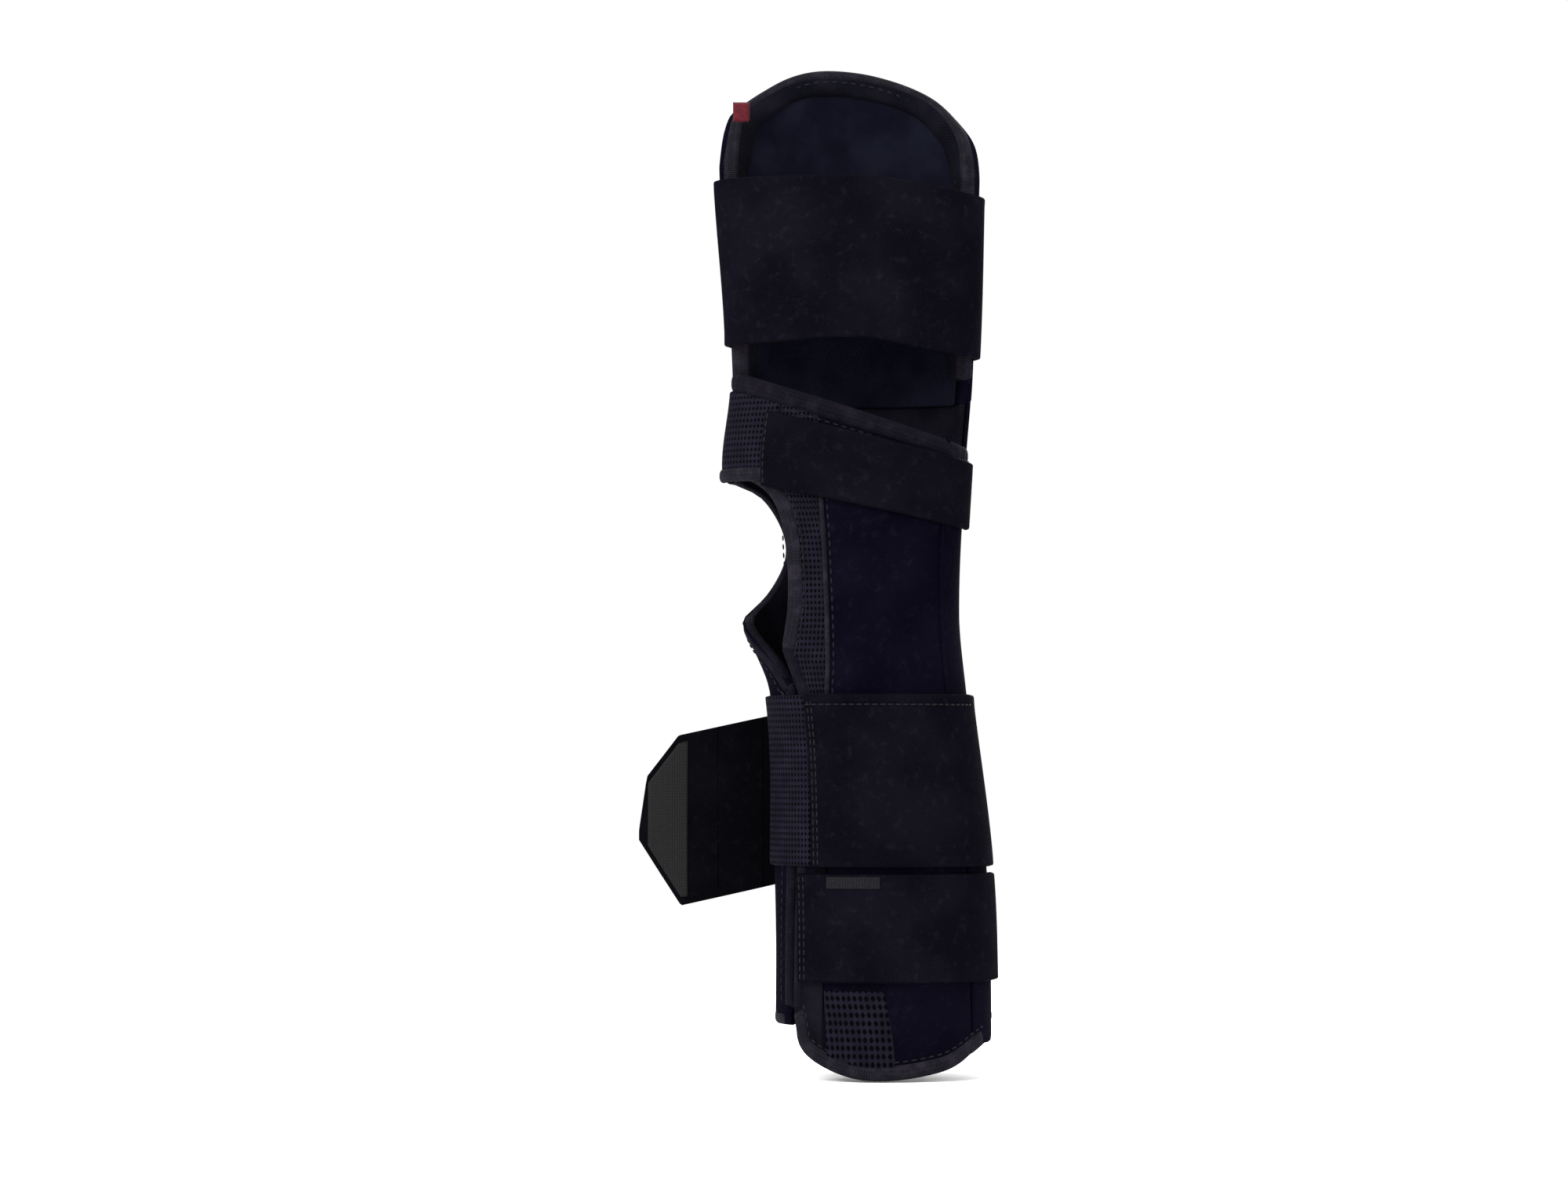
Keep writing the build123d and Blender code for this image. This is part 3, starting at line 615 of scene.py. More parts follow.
def x_of(angle, z, out=STRAP_OUT):
    """Front-view x of a place on the form at a layer."""
    across, depth, half_width, half_depth = limb(z)
    return across + (half_width + out) * np.cos(angle)


print("makers of panels and seams ready, one radian is about", ROUND, "mm of cloth")

# %% [markdown]
# ## Tapes and cords along a seam
# Bindings, the tray's rim roll and the piping are all one idea: a soft section carried along a line on
# the form. The section stands on the form's own normal, so the tape turns with the limb.

# %% Tapes
TAPE_END = 1.4


def tape(name, line, half_width, low, high, material, deeper=0.0, square=2.6, sides=14, flutter=0.0, **rest):
    """A tape with a rounded section along (angle, height) points, from layer low to layer high."""
    middle, half_height = (low + high) / 2, (high - low) / 2
    centre = on_form(line[:, 0], line[:, 1], middle, deeper)
    normal = outward(line[:, 0], line[:, 1])
    heading = np.gradient(centre, axis=0)
    heading /= np.linalg.norm(heading, axis=1, keepdims=True)
    side = np.cross(heading, normal)
    side /= np.linalg.norm(side, axis=1, keepdims=True)
    normal = np.cross(side, heading)
    turn = np.linspace(0, 2 * np.pi, sides, endpoint=False)
    round_x = np.sign(np.cos(turn)) * np.abs(np.cos(turn)) ** (2 / square)
    round_y = np.sign(np.sin(turn)) * np.abs(np.sin(turn)) ** (2 / square)
    count = len(line)
    run = np.concatenate([[0], np.cumsum(np.linalg.norm(np.diff(centre, axis=0), axis=1))])
    near = np.minimum(run, run[-1] - run)
    roll = np.sqrt(np.clip(1 - (1 - np.clip(near / TAPE_END, 0, 1)) ** 2, 0.08, 1))
    tall, wide = half_height * roll, half_width * (0.8 + 0.2 * roll)
    if flutter:
        wobble = np.sin(np.arange(count) * 0.9) + np.sin(np.arange(count) * 0.37 + 1)
        tall = tall * (1 + flutter * wobble)
    points = (
        centre[:, None]
        + side[:, None] * (round_x * wide[:, None])[..., None]
        + normal[:, None] * (round_y * tall[:, None])[..., None]
    )
    faces = []
    for step in range(count - 1):
        nearer, further = step * sides, (step + 1) * sides
        for place in range(sides):
            after = (place + 1) % sides
            faces.append([nearer + place, nearer + after, further + after, further + place])
    faces.append(list(range(sides))[::-1])
    faces.append([(count - 1) * sides + place for place in range(sides)])
    around = turn / (2 * np.pi) * 4 * half_width
    maps = np.stack(np.broadcast_arrays(around[None, :], run[:, None]), -1).reshape(-1, 2)
    made = finished(name, points.reshape(-1, 3), faces, material, maps=maps, **rest)
    made["cut_width"], made["cut_length"] = 4 * half_width * MM, float(run[-1]) * MM
    return made


print("tapes taper over their last", TAPE_END, "mm")

# %% [markdown]
# ## Stitches
# A sewing machine repeats one stitch, so Geometry Nodes repeat it here: the seam line is cut into equal
# steps, one small round stitch is laid on each, turned to the line, and the copies are made real.

# %% A stitching tree
def stitch_tree():
    tree = bpy.data.node_groups.new("stitch_row", "GeometryNodeTree")
    face = tree.interface
    face.new_socket("Seam", in_out="INPUT", socket_type="NodeSocketGeometry")
    for title in ("Pitch", "Stitch length", "Stitch width"):
        face.new_socket(title, in_out="INPUT", socket_type="NodeSocketFloat")
    face.new_socket("Thread", in_out="INPUT", socket_type="NodeSocketMaterial")
    face.new_socket("Stitches", in_out="OUTPUT", socket_type="NodeSocketGeometry")
    nodes, links = tree.nodes, tree.links
    given, result = nodes.new("NodeGroupInput"), nodes.new("NodeGroupOutput")
    as_curve = nodes.new("GeometryNodeMeshToCurve")
    steps = nodes.new("GeometryNodeCurveToPoints")
    steps.mode = "LENGTH"
    bead = nodes.new("GeometryNodeMeshUVSphere")
    bead.inputs["Segments"].default_value, bead.inputs["Rings"].default_value = 6, 4
    bead.inputs["Radius"].default_value = 1.0
    size = nodes.new("ShaderNodeCombineXYZ")
    laid = nodes.new("GeometryNodeInstanceOnPoints")
    real = nodes.new("GeometryNodeRealizeInstances")
    dyed = nodes.new("GeometryNodeSetMaterial")
    links.new(given.outputs["Seam"], as_curve.inputs[0])
    links.new(as_curve.outputs[0], steps.inputs["Curve"])
    links.new(given.outputs["Pitch"], steps.inputs["Length"])
    links.new(given.outputs["Stitch width"], size.inputs["X"])
    links.new(given.outputs["Stitch width"], size.inputs["Y"])
    links.new(given.outputs["Stitch length"], size.inputs["Z"])
    links.new(steps.outputs["Points"], laid.inputs["Points"])
    links.new(steps.outputs["Rotation"], laid.inputs["Rotation"])
    links.new(bead.outputs["Mesh"], laid.inputs["Instance"])
    links.new(size.outputs[0], laid.inputs["Scale"])
    links.new(laid.outputs[0], real.inputs[0])
    links.new(real.outputs[0], dyed.inputs[0])
    links.new(given.outputs["Thread"], dyed.inputs["Material"])
    links.new(dyed.outputs[0], result.inputs[0])
    return tree


STITCHES = stitch_tree()


def stitch_rows(name, body, lines, out, pitch=3.0, long=1.05, wide=0.32, deeper=0.0, dye=None):
    """Rows of stitches along (angle, height) lines at one layer, as one plain mesh on one body."""
    points, edges = [], []
    for line in lines:
        start = len(points)
        points += on_form(line[:, 0], line[:, 1], out, deeper).tolist()
        edges += [(start + step, start + step + 1) for step in range(len(line) - 1)]
    return sewn(name, body, np.array(points), edges, pitch, long, wide, dye)


def sewn(name, body, points, edges, pitch=3.0, long=1.05, wide=0.32, dye=None):
    seam = bpy.data.meshes.new(name + "_seam")
    seam.from_pydata((points * MM).tolist(), edges, [])
    guide = bpy.data.objects.new(name + "_seam", seam)
    COLLECTION.objects.link(guide)
    modifier = guide.modifiers.new("stitches", "NODES")
    modifier.node_group = STITCHES
    values = {
        "Pitch": pitch * MM, "Stitch length": long * MM, "Stitch width": wide * MM, "Thread": dye or thread,
    }
    for item in STITCHES.interface.items_tree:
        if item.in_out == "INPUT" and item.name in values:
            modifier[item.identifier] = values[item.name]
    bpy.context.view_layer.update()
    evaluated = guide.evaluated_get(bpy.context.evaluated_depsgraph_get())
    mesh = bpy.data.meshes.new_from_object(evaluated)
    mesh.name = name
    piece = bpy.data.objects.new(name, mesh)
    COLLECTION.objects.link(piece)
    bpy.data.objects.remove(guide)
    settle(piece, body)
    return piece


print("makers ready")

# %% [markdown]
# ## Stuffing settled by simulation
# A padded roll is never quite even. Blender's Cloth blows each one up a little against its own seams:
# the underside is pinned, air presses the rest out, and no point may move further than a cap, so that
# the roll stays clear of what lies beside it.

# %% Puffing a padded piece
def puff(piece, pinned, pressure=3.0, cap=0.7, frames=16):
    """Runs Cloth on a closed mesh with some points held, and keeps the settled shape."""
    mesh = piece.data
    start = np.empty(len(mesh.vertices) * 3)
    mesh.vertices.foreach_get("co", start)
    start = start.reshape(-1, 3)
    held = piece.vertex_groups.new(name="sewn")
    held.add([int(place) for place in np.flatnonzero(pinned)], 1.0, "REPLACE")
    soft = piece.modifiers.new("air", "CLOTH")
    soft.settings.quality = 4
    soft.settings.vertex_group_mass = "sewn"
    soft.settings.use_pressure = True
    soft.settings.uniform_pressure_force = pressure
    soft.settings.effector_weights.gravity = 0
    soft.settings.tension_stiffness = soft.settings.compression_stiffness = 20
    soft.point_cache.frame_start, soft.point_cache.frame_end = 1, frames
    for step in range(1, frames + 1):
        bpy.context.scene.frame_set(step)
    settled = np.empty_like(start).ravel()
    piece.evaluated_get(bpy.context.evaluated_depsgraph_get()).data.vertices.foreach_get("co", settled)
    moved = settled.reshape(-1, 3) - start
    far = np.linalg.norm(moved, axis=1, keepdims=True)
    moved *= np.minimum(1, cap * MM / np.maximum(far, 1e-9))
    piece.modifiers.remove(soft)
    piece.vertex_groups.remove(held)
    mesh.vertices.foreach_set("co", (start + moved).ravel())
    mesh.update()
    bpy.context.scene.frame_set(1)
    print(piece.name, "puffed by up to", round(float(far.max()) / MM, 2), "mm")
    return piece


print("simulation", "on")

# %% [markdown]
# ## The palmar gutter
# The part that does the holding: a padded trough under the forearm and palm, wrapped a little way on to
# the back of the wrist on the thumb side, with a hole for the thumb. Its edge line is a list of angles
# and heights, because the hole is cut in a wall that stands edge-on to the front.

# %% Gutter body, cover and edge binding
def across_line(line):
    """(degrees, height) points as (angle, height) points on a smooth line."""
    bent = smooth_line(line, 160)
    return np.stack([np.radians(bent[:, 0]), bent[:, 1]], 1)


floor_z = thumb_floor + 9
gutter_left = across_line([
    (360 + np.degrees(angle_at(corner_x - 0.4, corner_z + 7, out=LINING)), gutter_low + 1),
    (212.2, 40), (215.3, 69), (220.6, wrist - 1), (217.5, wrist + 4), (207, thumb_floor - 1),
    (193, thumb_floor + 5),
    (179, floor_z + 1),
    (158, floor_z + 4.5), (138, floor_z + 11), (124, floor_z + 22), (124, floor_z + 33),
    (136, thumb_top - 5), (156, thumb_top - 1), (178.5, thumb_top + 0.5), (179, thumb_top + 8),
    (179, distal - 6),
])
gutter_right = np.array([(0.012, gutter_low), (0.012, gutter_high)])


gutter_left[:, 1] = np.maximum.accumulate(np.clip(gutter_left[:, 1], gutter_low, gutter_high))
angle, z = rows_between(gutter_left, gutter_right, level(gutter_low), level(gutter_high), 110, 64)
gutter_body = cloth(
    "gutter_padding", angle, z, 0.0, LINING + 0.3, padded_lining, edge=1.6, wave=-0.35, wave_size=11,
    body="palmar_splint", stands_for=["palmar_gutter_lining"], slot="padded_lining",
)
gutter_cover = cloth(
    "gutter_cover", angle, z, LINING + 0.35, COVER_OUT - 0.1, loop_fabric, edge=1.5, deeper=PLATE_RISE,
    wave=0.25, wave_size=20, seed=3, body="palmar_splint", stands_for=["palmar_cover"], slot="loop_fabric",
)


def inset_line(line, step):
    """A line of (angle, height) points moved sideways, to its right as it runs, in millimetres."""
    centre = on_form(line[:, 0], line[:, 1], 3.0)
    heading = np.gradient(centre, axis=0)
    side = np.cross(heading, outward(line[:, 0], line[:, 1]))
    side /= np.linalg.norm(side, axis=1, keepdims=True)
    moved = centre + side * step
    across, depth, half_width, half_depth = limb(moved[:, 2])
    turned = np.arctan2((moved[:, 1] - depth) / (half_depth + 3), (moved[:, 0] - across) / (half_width + 3))
    turned = np.unwrap(turned)
    turned += 2 * np.pi * np.round((line[0, 0] - turned[0]) / (2 * np.pi))
    return np.stack([turned, moved[:, 2]], 1)


tape(
    "gutter_edge_binding", inset_line(gutter_left[2:], -2.3), 2.5, 0.1, COVER_OUT + 0.1, dark_binding,
    deeper=PLATE_RISE, body="palmar_splint", stands_for=["palmar_edge_binding"], slot="binding_tape",
)
low_edge = np.stack([np.linspace(np.radians(206), 0.03, 120), np.full(120, gutter_low + 2.4)], 1)
tape(
    "gutter_cuff_binding", low_edge, 2.5, 0.1, COVER_OUT + 0.1, binding_tape, deeper=PLATE_RISE,
    body="palmar_splint", slot="binding_tape",
)
print("gutter", len(gutter_body.data.polygons), "faces")

# %% [markdown]
# ## The finger tray
# The tray is the gutter's far end, opened out to hold the fingers: a stiff padded pan, a soft roll round
# its rim and a smooth lining let into the floor. Its tip is not symmetrical; it reaches furthest towards
# the thumb side, so the rim is drawn as heights at angles across the pan.

# %% Tray pan, floor, rim roll and tab
TIP = np.array([
    # degrees round the limb, share of the rise from the finger strap's top to the tip
    (-2, -0.18), (4, 0.02), (9, 0.18), (16, 0.33), (26, 0.47), (43, 0.69), (60, 0.84), (79, 0.955), (94, 1.0),
    (107, 0.995), (120, 0.93), (134, 0.81), (147, 0.70), (158, 0.61), (166, 0.43), (173, 0.2), (182, -0.02),
])
tip_line = smooth_line(TIP, 200)


def tray_edge(angle):
    """Height of the tray's outer edge at an angle."""
    share = np.interp(np.degrees(angle), tip_line[:, 0], tip_line[:, 1])
    return finger_high + 3 + share * (tray_tip - finger_high - 3.2)


tray_base = tray_low - 2.5
left_side = column(np.pi - 0.01, tray_base, float(tray_edge(np.pi - 0.01)), 50)
right_side = column(0.01, tray_base, float(tray_edge(0.01)), 50)
angle, z = rows_between(left_side, right_side, level(tray_base), tray_edge, 90, 72)
tray_pan = cloth(
    "tray_pan", angle, z, -0.2, COVER_OUT + 0.3, loop_fabric, edge=2.2, wave=0.3, wave_size=18, seed=5,
    deeper=PLATE_RISE, body="palmar_splint", stands_for=["tray_pad", "tray_back_cover"], slot="loop_fabric",
)

floor_left = left_side * [0, 1] + [np.radians(169), 0]
floor_right = right_side * [0, 1] + [np.radians(11), 0]


def floor_top(angle):
    return tray_edge(angle) - 3.5


angle, z = rows_between(floor_left, floor_right, level(tray_base), floor_top, 70, 50)
tray_floor = cloth(
    "tray_floor", angle, z, -1.5, -0.3, tray_lining, edge=1.2, wave=-0.3, wave_size=22, seed=8,
    body="palmar_splint", stands_for=["tray_liner"], slot="smooth_lining",
)

rim_angles = np.radians(np.concatenate([
    np.full(60, 178.5), np.linspace(178.5, 1.5, 240), np.full(60, 1.5),
]))
rim_heights = np.concatenate([
    np.linspace(tray_low + 6, float(tray_edge(np.radians(178.5))) - 1, 60),
    tray_edge(rim_angles[60:300]),
    np.linspace(float(tray_edge(np.radians(1.5))) - 1, tray_low + 6, 60),
])
rim_round = 42
rim_edge = evenly(np.stack([rim_angles * rim_round, rim_heights], 1), 300) / [rim_round, 1]
for _ in range(6):
    rim_edge[1:-1] = (rim_edge[:-2] + 2 * rim_edge[1:-1] + rim_edge[2:]) / 4
rim_roll = tape(
    "tray_rim_roll", inset_line(rim_edge, -4.0), 4.1, -2.9, 2.2, padded_lining, sides=20, square=2.3,
    body="palmar_splint", stands_for=["tray_rim_pad"], slot="padded_lining",
)
puff(
    rim_roll, np.tile(np.sin(np.linspace(0, 2 * np.pi, 20, endpoint=False)) > 0.3, 300), pressure=2.0,
    cap=0.6,
)
tape(
    "tray_rim_binding", inset_line(rim_edge, -1.3), 1.9, -2.2, 3.9, binding_tape, sides=16, square=2.4,
    body="palmar_splint", stands_for=["tray_rim_binding"], slot="binding_tape",
)


def edge_tab(count=12):
    """The small folded tape at the tray's thumb-side corner, bulging out of its node's box."""
    low, high = (np.array(corner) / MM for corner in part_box("edge_tab"))
    middle, half = (low + high) / 2, (high - low) / 2
    up, side = np.meshgrid(np.linspace(-1, 1, count), np.linspace(-1, 1, count), indexing="ij")
    bulge = 0.25 + 0.75 * np.sqrt(np.clip(1 - np.maximum(abs(side), abs(up)) ** 4, 0, 1))
    front = np.stack([middle[0] + side * half[0], middle[1] - half[1] * bulge, middle[2] + up * half[2]], -1)
    back = front * [1, 0, 1] + [0, middle[1] + half[1] * 0.25, 0]
    rim = np.ones((count, count), bool)
    rim[1:-1, 1:-1] = False
    front[rim, 1] = back[rim, 1]
    shell(
        "tray_edge_tab", back, front, red_tape, front[..., [0, 2]],
        body="palmar_splint", stands_for=["edge_tab"], slot="red_tape",
    )
    print("tab at", middle.round(1), "half size", half.round(1))


edge_tab()

# %% [markdown]
# ## The flap over the back of the hand
# The flap is hinged to the gutter along the little-finger side. Its face is pieced like the real one: a
# plain panel down the middle, a perforated strip between the piping and the thumb hole, a web panel over
# the base of the thumb, and a strip at the hinge. All the pieces share one set of rows from the cuff to
# the knuckles, so that their seams meet.

# %% Flap outline and lining
CUFF_LINE = smooth_line([
    (corner_x, corner_z), (corner_x + 4, cuff_low + 8.3), (corner_x + 23, cuff_low + 0.2),
    (ulnar(0, 14), cuff_low + 2.9), (ulnar(0) - 0.5, cuff_low + 11.6),
], 160)
cuff_round = round_limb(CUFF_LINE, out=LINING)
cuff_round = cuff_round[np.argsort(cuff_round[:, 0])]
HINGE, THUMB_EDGE = -0.012, -np.pi + 0.012


def flap_bottom(angle):
    """Height of the cuff's edge at an angle."""
    return np.interp(angle, cuff_round[:, 0], cuff_round[:, 1])


def flap_top(angle):
    """Height of the knuckle edge at an angle."""
    height = np.full_like(np.asarray(angle, float), distal)
    for _ in range(6):
        across, depth, half_width, half_depth = limb(height)
        height = distal_edge(across + (half_width + LINING) * np.cos(angle))
    return height


flap_left_front = [
    (corner_x, corner_z), (corner_x + 0.4, 40), (wing_x, wide_low + 8), (wing_x, wrist + 1),
    (radial(thumb_floor, 6.4), thumb_floor + 1),
]
notch_line = smooth_line([
    (radial(thumb_floor, 6.4), thumb_floor + 1), (notch_x + 0.6, thumb_floor + 16),
    (notch_x - 0.2, thumb_top - 22),
    (notch_x - 4, thumb_top - 8), (radial(thumb_top, 7), thumb_top - 1),
    (radial(thumb_top, -1.2), thumb_top + 1.6),
], 120)
lower_left = round_limb(evenly(np.array(flap_left_front), 80), out=LINING)
notch_left = round_limb(notch_line, out=LINING)
web_edge = column(THUMB_EDGE, thumb_top + 2.2, float(flap_top(-np.pi)), 30)
flap_left = np.vstack([lower_left, notch_left[1:], web_edge])
flap_right = column(HINGE, float(flap_bottom(HINGE)), float(flap_top(HINGE)), 60)
angle, z = rows_between(flap_left, flap_right, flap_bottom, flap_top, 120, 70)
flap_lining = cloth(
    "flap_lining", angle, z, 0.0, LINING + 0.25, padded_lining, edge=1.6, wave=-0.3, wave_size=12, seed=4,
    body="dorsal_flap", stands_for=["dorsal_lining"], slot="padded_lining",
)
print("flap lining", len(flap_lining.data.polygons), "faces")

# %% [markdown]
# The seams on the flap's face are lines down its length, given in the front view. The rows of each panel
# run between two of them.

# %% Panels on the flap's face
def seam(points, out=SKIN_OUT, count=140):
    return round_limb(smooth_line(points, count), out=out)


radial_seam = seam([
    (corner_x + 9, cuff_low + 3), (corner_x + 9.3, 30), (wing_x + 9, wide_low + 8), (wing_x + 9.2, wrist - 6),
    (wing_x + 9.6, wrist + 14), (notch_x + 12.6, thumb_top - 25), (notch_x + 11.2, thumb_top),
    (notch_x + 11, distal),
])
seam_heights = (cuff_low + 10, wide_low, wrist, thumb_floor + 25, distal - 20)
ulnar_seam = seam([(ulnar(height, 3.4), height) for height in seam_heights])
flap_face = dict(body="dorsal_flap")
angle, z = rows_between(radial_seam, ulnar_seam, flap_bottom, flap_top, 120, 50)
dorsal_panel = cloth(
    "back_panel", angle, z, LINING + 0.2, SKIN_OUT + 0.25, loop_fabric, edge=1.4, wave=0.32, wave_size=19,
    seed=2, stands_for=["dorsal_panel"], slot="loop_fabric", **flap_face,
)
low_part = flap_left[flap_left[:, 1] < thumb_top - 2]
angle, z = rows_between(low_part, radial_seam, flap_bottom, flap_top, 150, 26)
keep = int(np.searchsorted(z[:, 10], thumb_top + 2))
part_way = int(np.searchsorted(z[:, 10], wide_low + 20))
low_strip = cloth(
    "cuff_side_knit", angle[:part_way + 1], z[:part_way + 1], LINING + 0.2, SKIN_OUT + 0.1, padded_lining,
    edge=1.0, wave=0.2, wave_size=9, seed=6, slot="padded_lining", **flap_face,
)
mesh_strip = cloth(
    "thumb_side_mesh", angle[part_way:keep], z[part_way:keep], LINING + 0.2, SKIN_OUT + 0.1, spacer_mesh,
    edge=1.0, wave=0.2, wave_size=9, seed=6,
    stands_for=["radial_mesh_strip"], slot="spacer_mesh", **flap_face,
)
web_base = thumb_top + 1.8
web_right = radial_seam[radial_seam[:, 1] > thumb_top]
angle, z = rows_between(
    column(THUMB_EDGE, web_base, distal), web_right, level(web_base), flap_top, 40, 34
)
web_panel = cloth(
    "thumb_web_mesh", angle, z, LINING + 0.15, SKIN_OUT + 0.2, spacer_mesh, edge=1.2, wave=0.3,
    wave_size=10, seed=9, stands_for=["web_panel"], slot="spacer_mesh", **flap_face,
)
print("face panels", [piece.name for piece in (dorsal_panel, low_strip, mesh_strip, web_panel)])

# %% [markdown]
# The strip at the little-finger side is the hinge itself. It is one piece of cloth from the flap's last
# seam to the gutter.

# %% Hinge strip, cuff window and piping
side_right = column(np.radians(9), gutter_low + 3, float(flap_top(HINGE)), 60)
flap_part, gutter_part = np.radians([-40, -20, -8]), np.radians([0, 6, 12])
gutter_rise = [gutter_low - 3.2, gutter_low + 0.2, gutter_low + 1.5]


def side_bottom(angle):
    """Height of the strip's lower edge: the cuff's edge on the flap, easing up to the gutter's."""
    return np.interp(angle, [*flap_part, *gutter_part], [*flap_bottom(flap_part), *gutter_rise])


def side_top(angle):
    return flap_top(np.minimum(angle, 0.0))


angle, z = rows_between(ulnar_seam, side_right, side_bottom, side_top, 120, 22)
hinge_strip = cloth(
    "little_finger_side_strip", angle, z, SKIN_IN + 0.35, SKIN_OUT + 0.55, loop_fabric, edge=1.0, wave=0.15,
    seed=7, stands_for=["ulnar_side_panel"], slot="loop_fabric", deeper=PLATE_RISE,
)
hinge_x = float(limb(84)[0] + limb(84)[2]) * MM
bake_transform(hinge_strip)

window_left, window_top = corner_x + 9.5, cuff_low + 30.5
window_west = seam(
    [(window_left + 1.2, cuff_low + 1), (window_left + 0.6, 8), (window_left, window_top)], SKIN_OUT, 60,
)
window_east = seam(
    [(window_left + 25.5, cuff_low - 2), (window_left + 22.8, 8), (window_left + 20.5, window_top)],
    SKIN_OUT, 60,
)
angle, z = rows_between(
    window_west, window_east, lambda a: flap_bottom(a) + 3, level(window_top), 44, 44, 0.3,
)
cuff_window = cloth(
    "cuff_mesh_window", angle, z, LINING + 0.9, SKIN_OUT + 0.75, window_mesh, edge=1.0, wave=0.2,
    wave_size=10, seed=11, stands_for=["cuff_mesh_window"], slot="spacer_mesh", **flap_face,
)

piping_line = radial_seam[(radial_seam[:, 1] > wrist - 10) & (radial_seam[:, 1] < thumb_top + 6)]
tape(
    "thumb_side_piping", piping_line, 0.85, SKIN_OUT - 0.5, SKIN_OUT + 1.2, binding_tape, square=2.0,
    sides=10, stands_for=["radial_piping"], slot="binding_tape", **flap_face,
)
ulnar_line = ulnar_seam[(ulnar_seam[:, 1] > wrist - 10)]
tape(
    "little_finger_side_piping", ulnar_line, 0.8, SKIN_OUT - 0.5, SKIN_OUT + 1.1, loop_fabric, square=2.0,
    sides=10, stands_for=["ulnar_piping"], slot="binding_tape", **flap_face,
)
print("hinge strip bends at x", round(hinge_x / MM, 1), "window starts at x", round(window_left, 1))

# %% [markdown]
# Every raw edge of the flap is bound: a tape folded over it and sewn through. The binding at the
# knuckles is the widest, the one round the thumb hole is flat and smooth.

# %% Bindings of the flap
cuff_hem_line = cuff_round[(cuff_round[:, 0] < HINGE - 0.02)]
cuff_hem = tape(
    "cuff_binding", inset_line(cuff_hem_line, -2.6), 2.8, 0.2, SKIN_OUT + 1.0, binding_tape, sides=18,
    flutter=0.03, stands_for=["cuff_binding"], slot="binding_tape", **flap_face,
)
knuckle_angles = np.linspace(-np.pi + 0.02, HINGE - 0.01, 160)
knuckle_line = np.stack([knuckle_angles, flap_top(knuckle_angles)], 1)
knuckle_hem = tape(
    "knuckle_binding", inset_line(knuckle_line, 3.0), 3.3, 0.0, SKIN_OUT + 1.3, dark_binding, sides=18,
    flutter=0.03, stands_for=["distal_binding"], slot="binding_tape", **flap_face,
)
thumb_hem = tape(
    "thumb_hole_binding", inset_line(even_seam(notch_left), 2.4), 2.7, 0.2, SKIN_OUT + 0.8, binding_tape,
    sides=16, stands_for=["thumb_binding"], slot="binding_tape", **flap_face,
)
edge_line = even_seam(lower_left)
edge_hem = tape(
    "flap_edge_binding", inset_line(edge_line[2:], 2.3), 2.5, 0.3, SKIN_OUT + 0.9, dark_binding, sides=16,
    stands_for=["flap_edge_binding"], slot="binding_tape", **flap_face,
)
print("bindings", [round(o["cut_length"], 3) for o in (cuff_hem, knuckle_hem, thumb_hem, edge_hem)])

# %% [markdown]
# ## The straps
# Each strap is a flat band that lies on the outermost layer. It is modelled directly, because a band a
# millimetre and a half thick has no stuffing to settle. One that opens has its fold in one piece with
# the part that it is sewn to.

# %% Strap maker
def strap(name, first, last, low, high, inner, outer, material=None, columns=90, rows=34, **rest):
    """A band from one angle to another, between two height functions of the angle."""
    ends = []
    for at in (first, last):
        here = np.full(40, at)
        ends.append(np.stack([here, np.linspace(0, 1, 40) * (high(here) - low(here)) + low(here)], 1))
    angle, z = rows_between(ends[0], ends[1], low, high, rows, columns, 0.75)
    return cloth(name, angle, z, inner, outer, material or strap_fabric, **rest)


def as_sheet(piece, share=1.0):
    """Prints a band's flat cut from its own lengths."""
    width, length = piece["cut_width"], piece["cut_length"]
    width * length * share
    print(piece.name, "cut", round(width, 4), "by", round(length, 4))


print("straps lie from layer", STRAP_IN, "to", STRAP_OUT)

# %% [markdown]
# The wide strap runs over the back of the forearm and round the palm side. Its thumb-side end is mesh,
# and a hem is sewn along its upper edge.

# %% Wide forearm strap, its mesh end and its hem
wide_left = float(angle_at(radial(wrist, 9.5), 90, out=STRAP_OUT))
tail_angle = np.radians(149.0)
wide_strap = strap(
    "wide_forearm_strap", wide_left, tail_angle, level(wide_low), level(wrist), STRAP_IN, STRAP_OUT,
    columns=150, rows=44, edge=0.9, wave=0.25, wave_size=24, seed=12,
    stands_for=["wide_strap_dorsal", "wide_strap_palmar"], slot="strap_webbing",
)
as_sheet(wide_strap)
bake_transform(wide_strap)
mesh_end = strap(
    "wide_strap_mesh_end", -np.pi + 0.02, wide_left, level(wide_low + 0.3), level(wrist - 0.3),
    STRAP_IN - 1.0, STRAP_OUT - 0.6,
    material=spacer_mesh, columns=30, rows=44, edge=0.9, wave=0.2, seed=13,
    stands_for=["wide_strap_mesh_end"], slot="spacer_mesh", body="dorsal_flap",
)
as_sheet(mesh_end)
tape(
    "wide_strap_top_hem", row(level(wrist - 1.6), wide_left + 0.01, -0.3, 120), 1.6, STRAP_IN + 0.2,
    STRAP_OUT + 0.4, strap_fabric, square=3,
    body="dorsal_flap", slot="strap_webbing",
)

# %% [markdown]
# The narrow strap is one piece from its sewn end, which rides on the flap, to its free end.

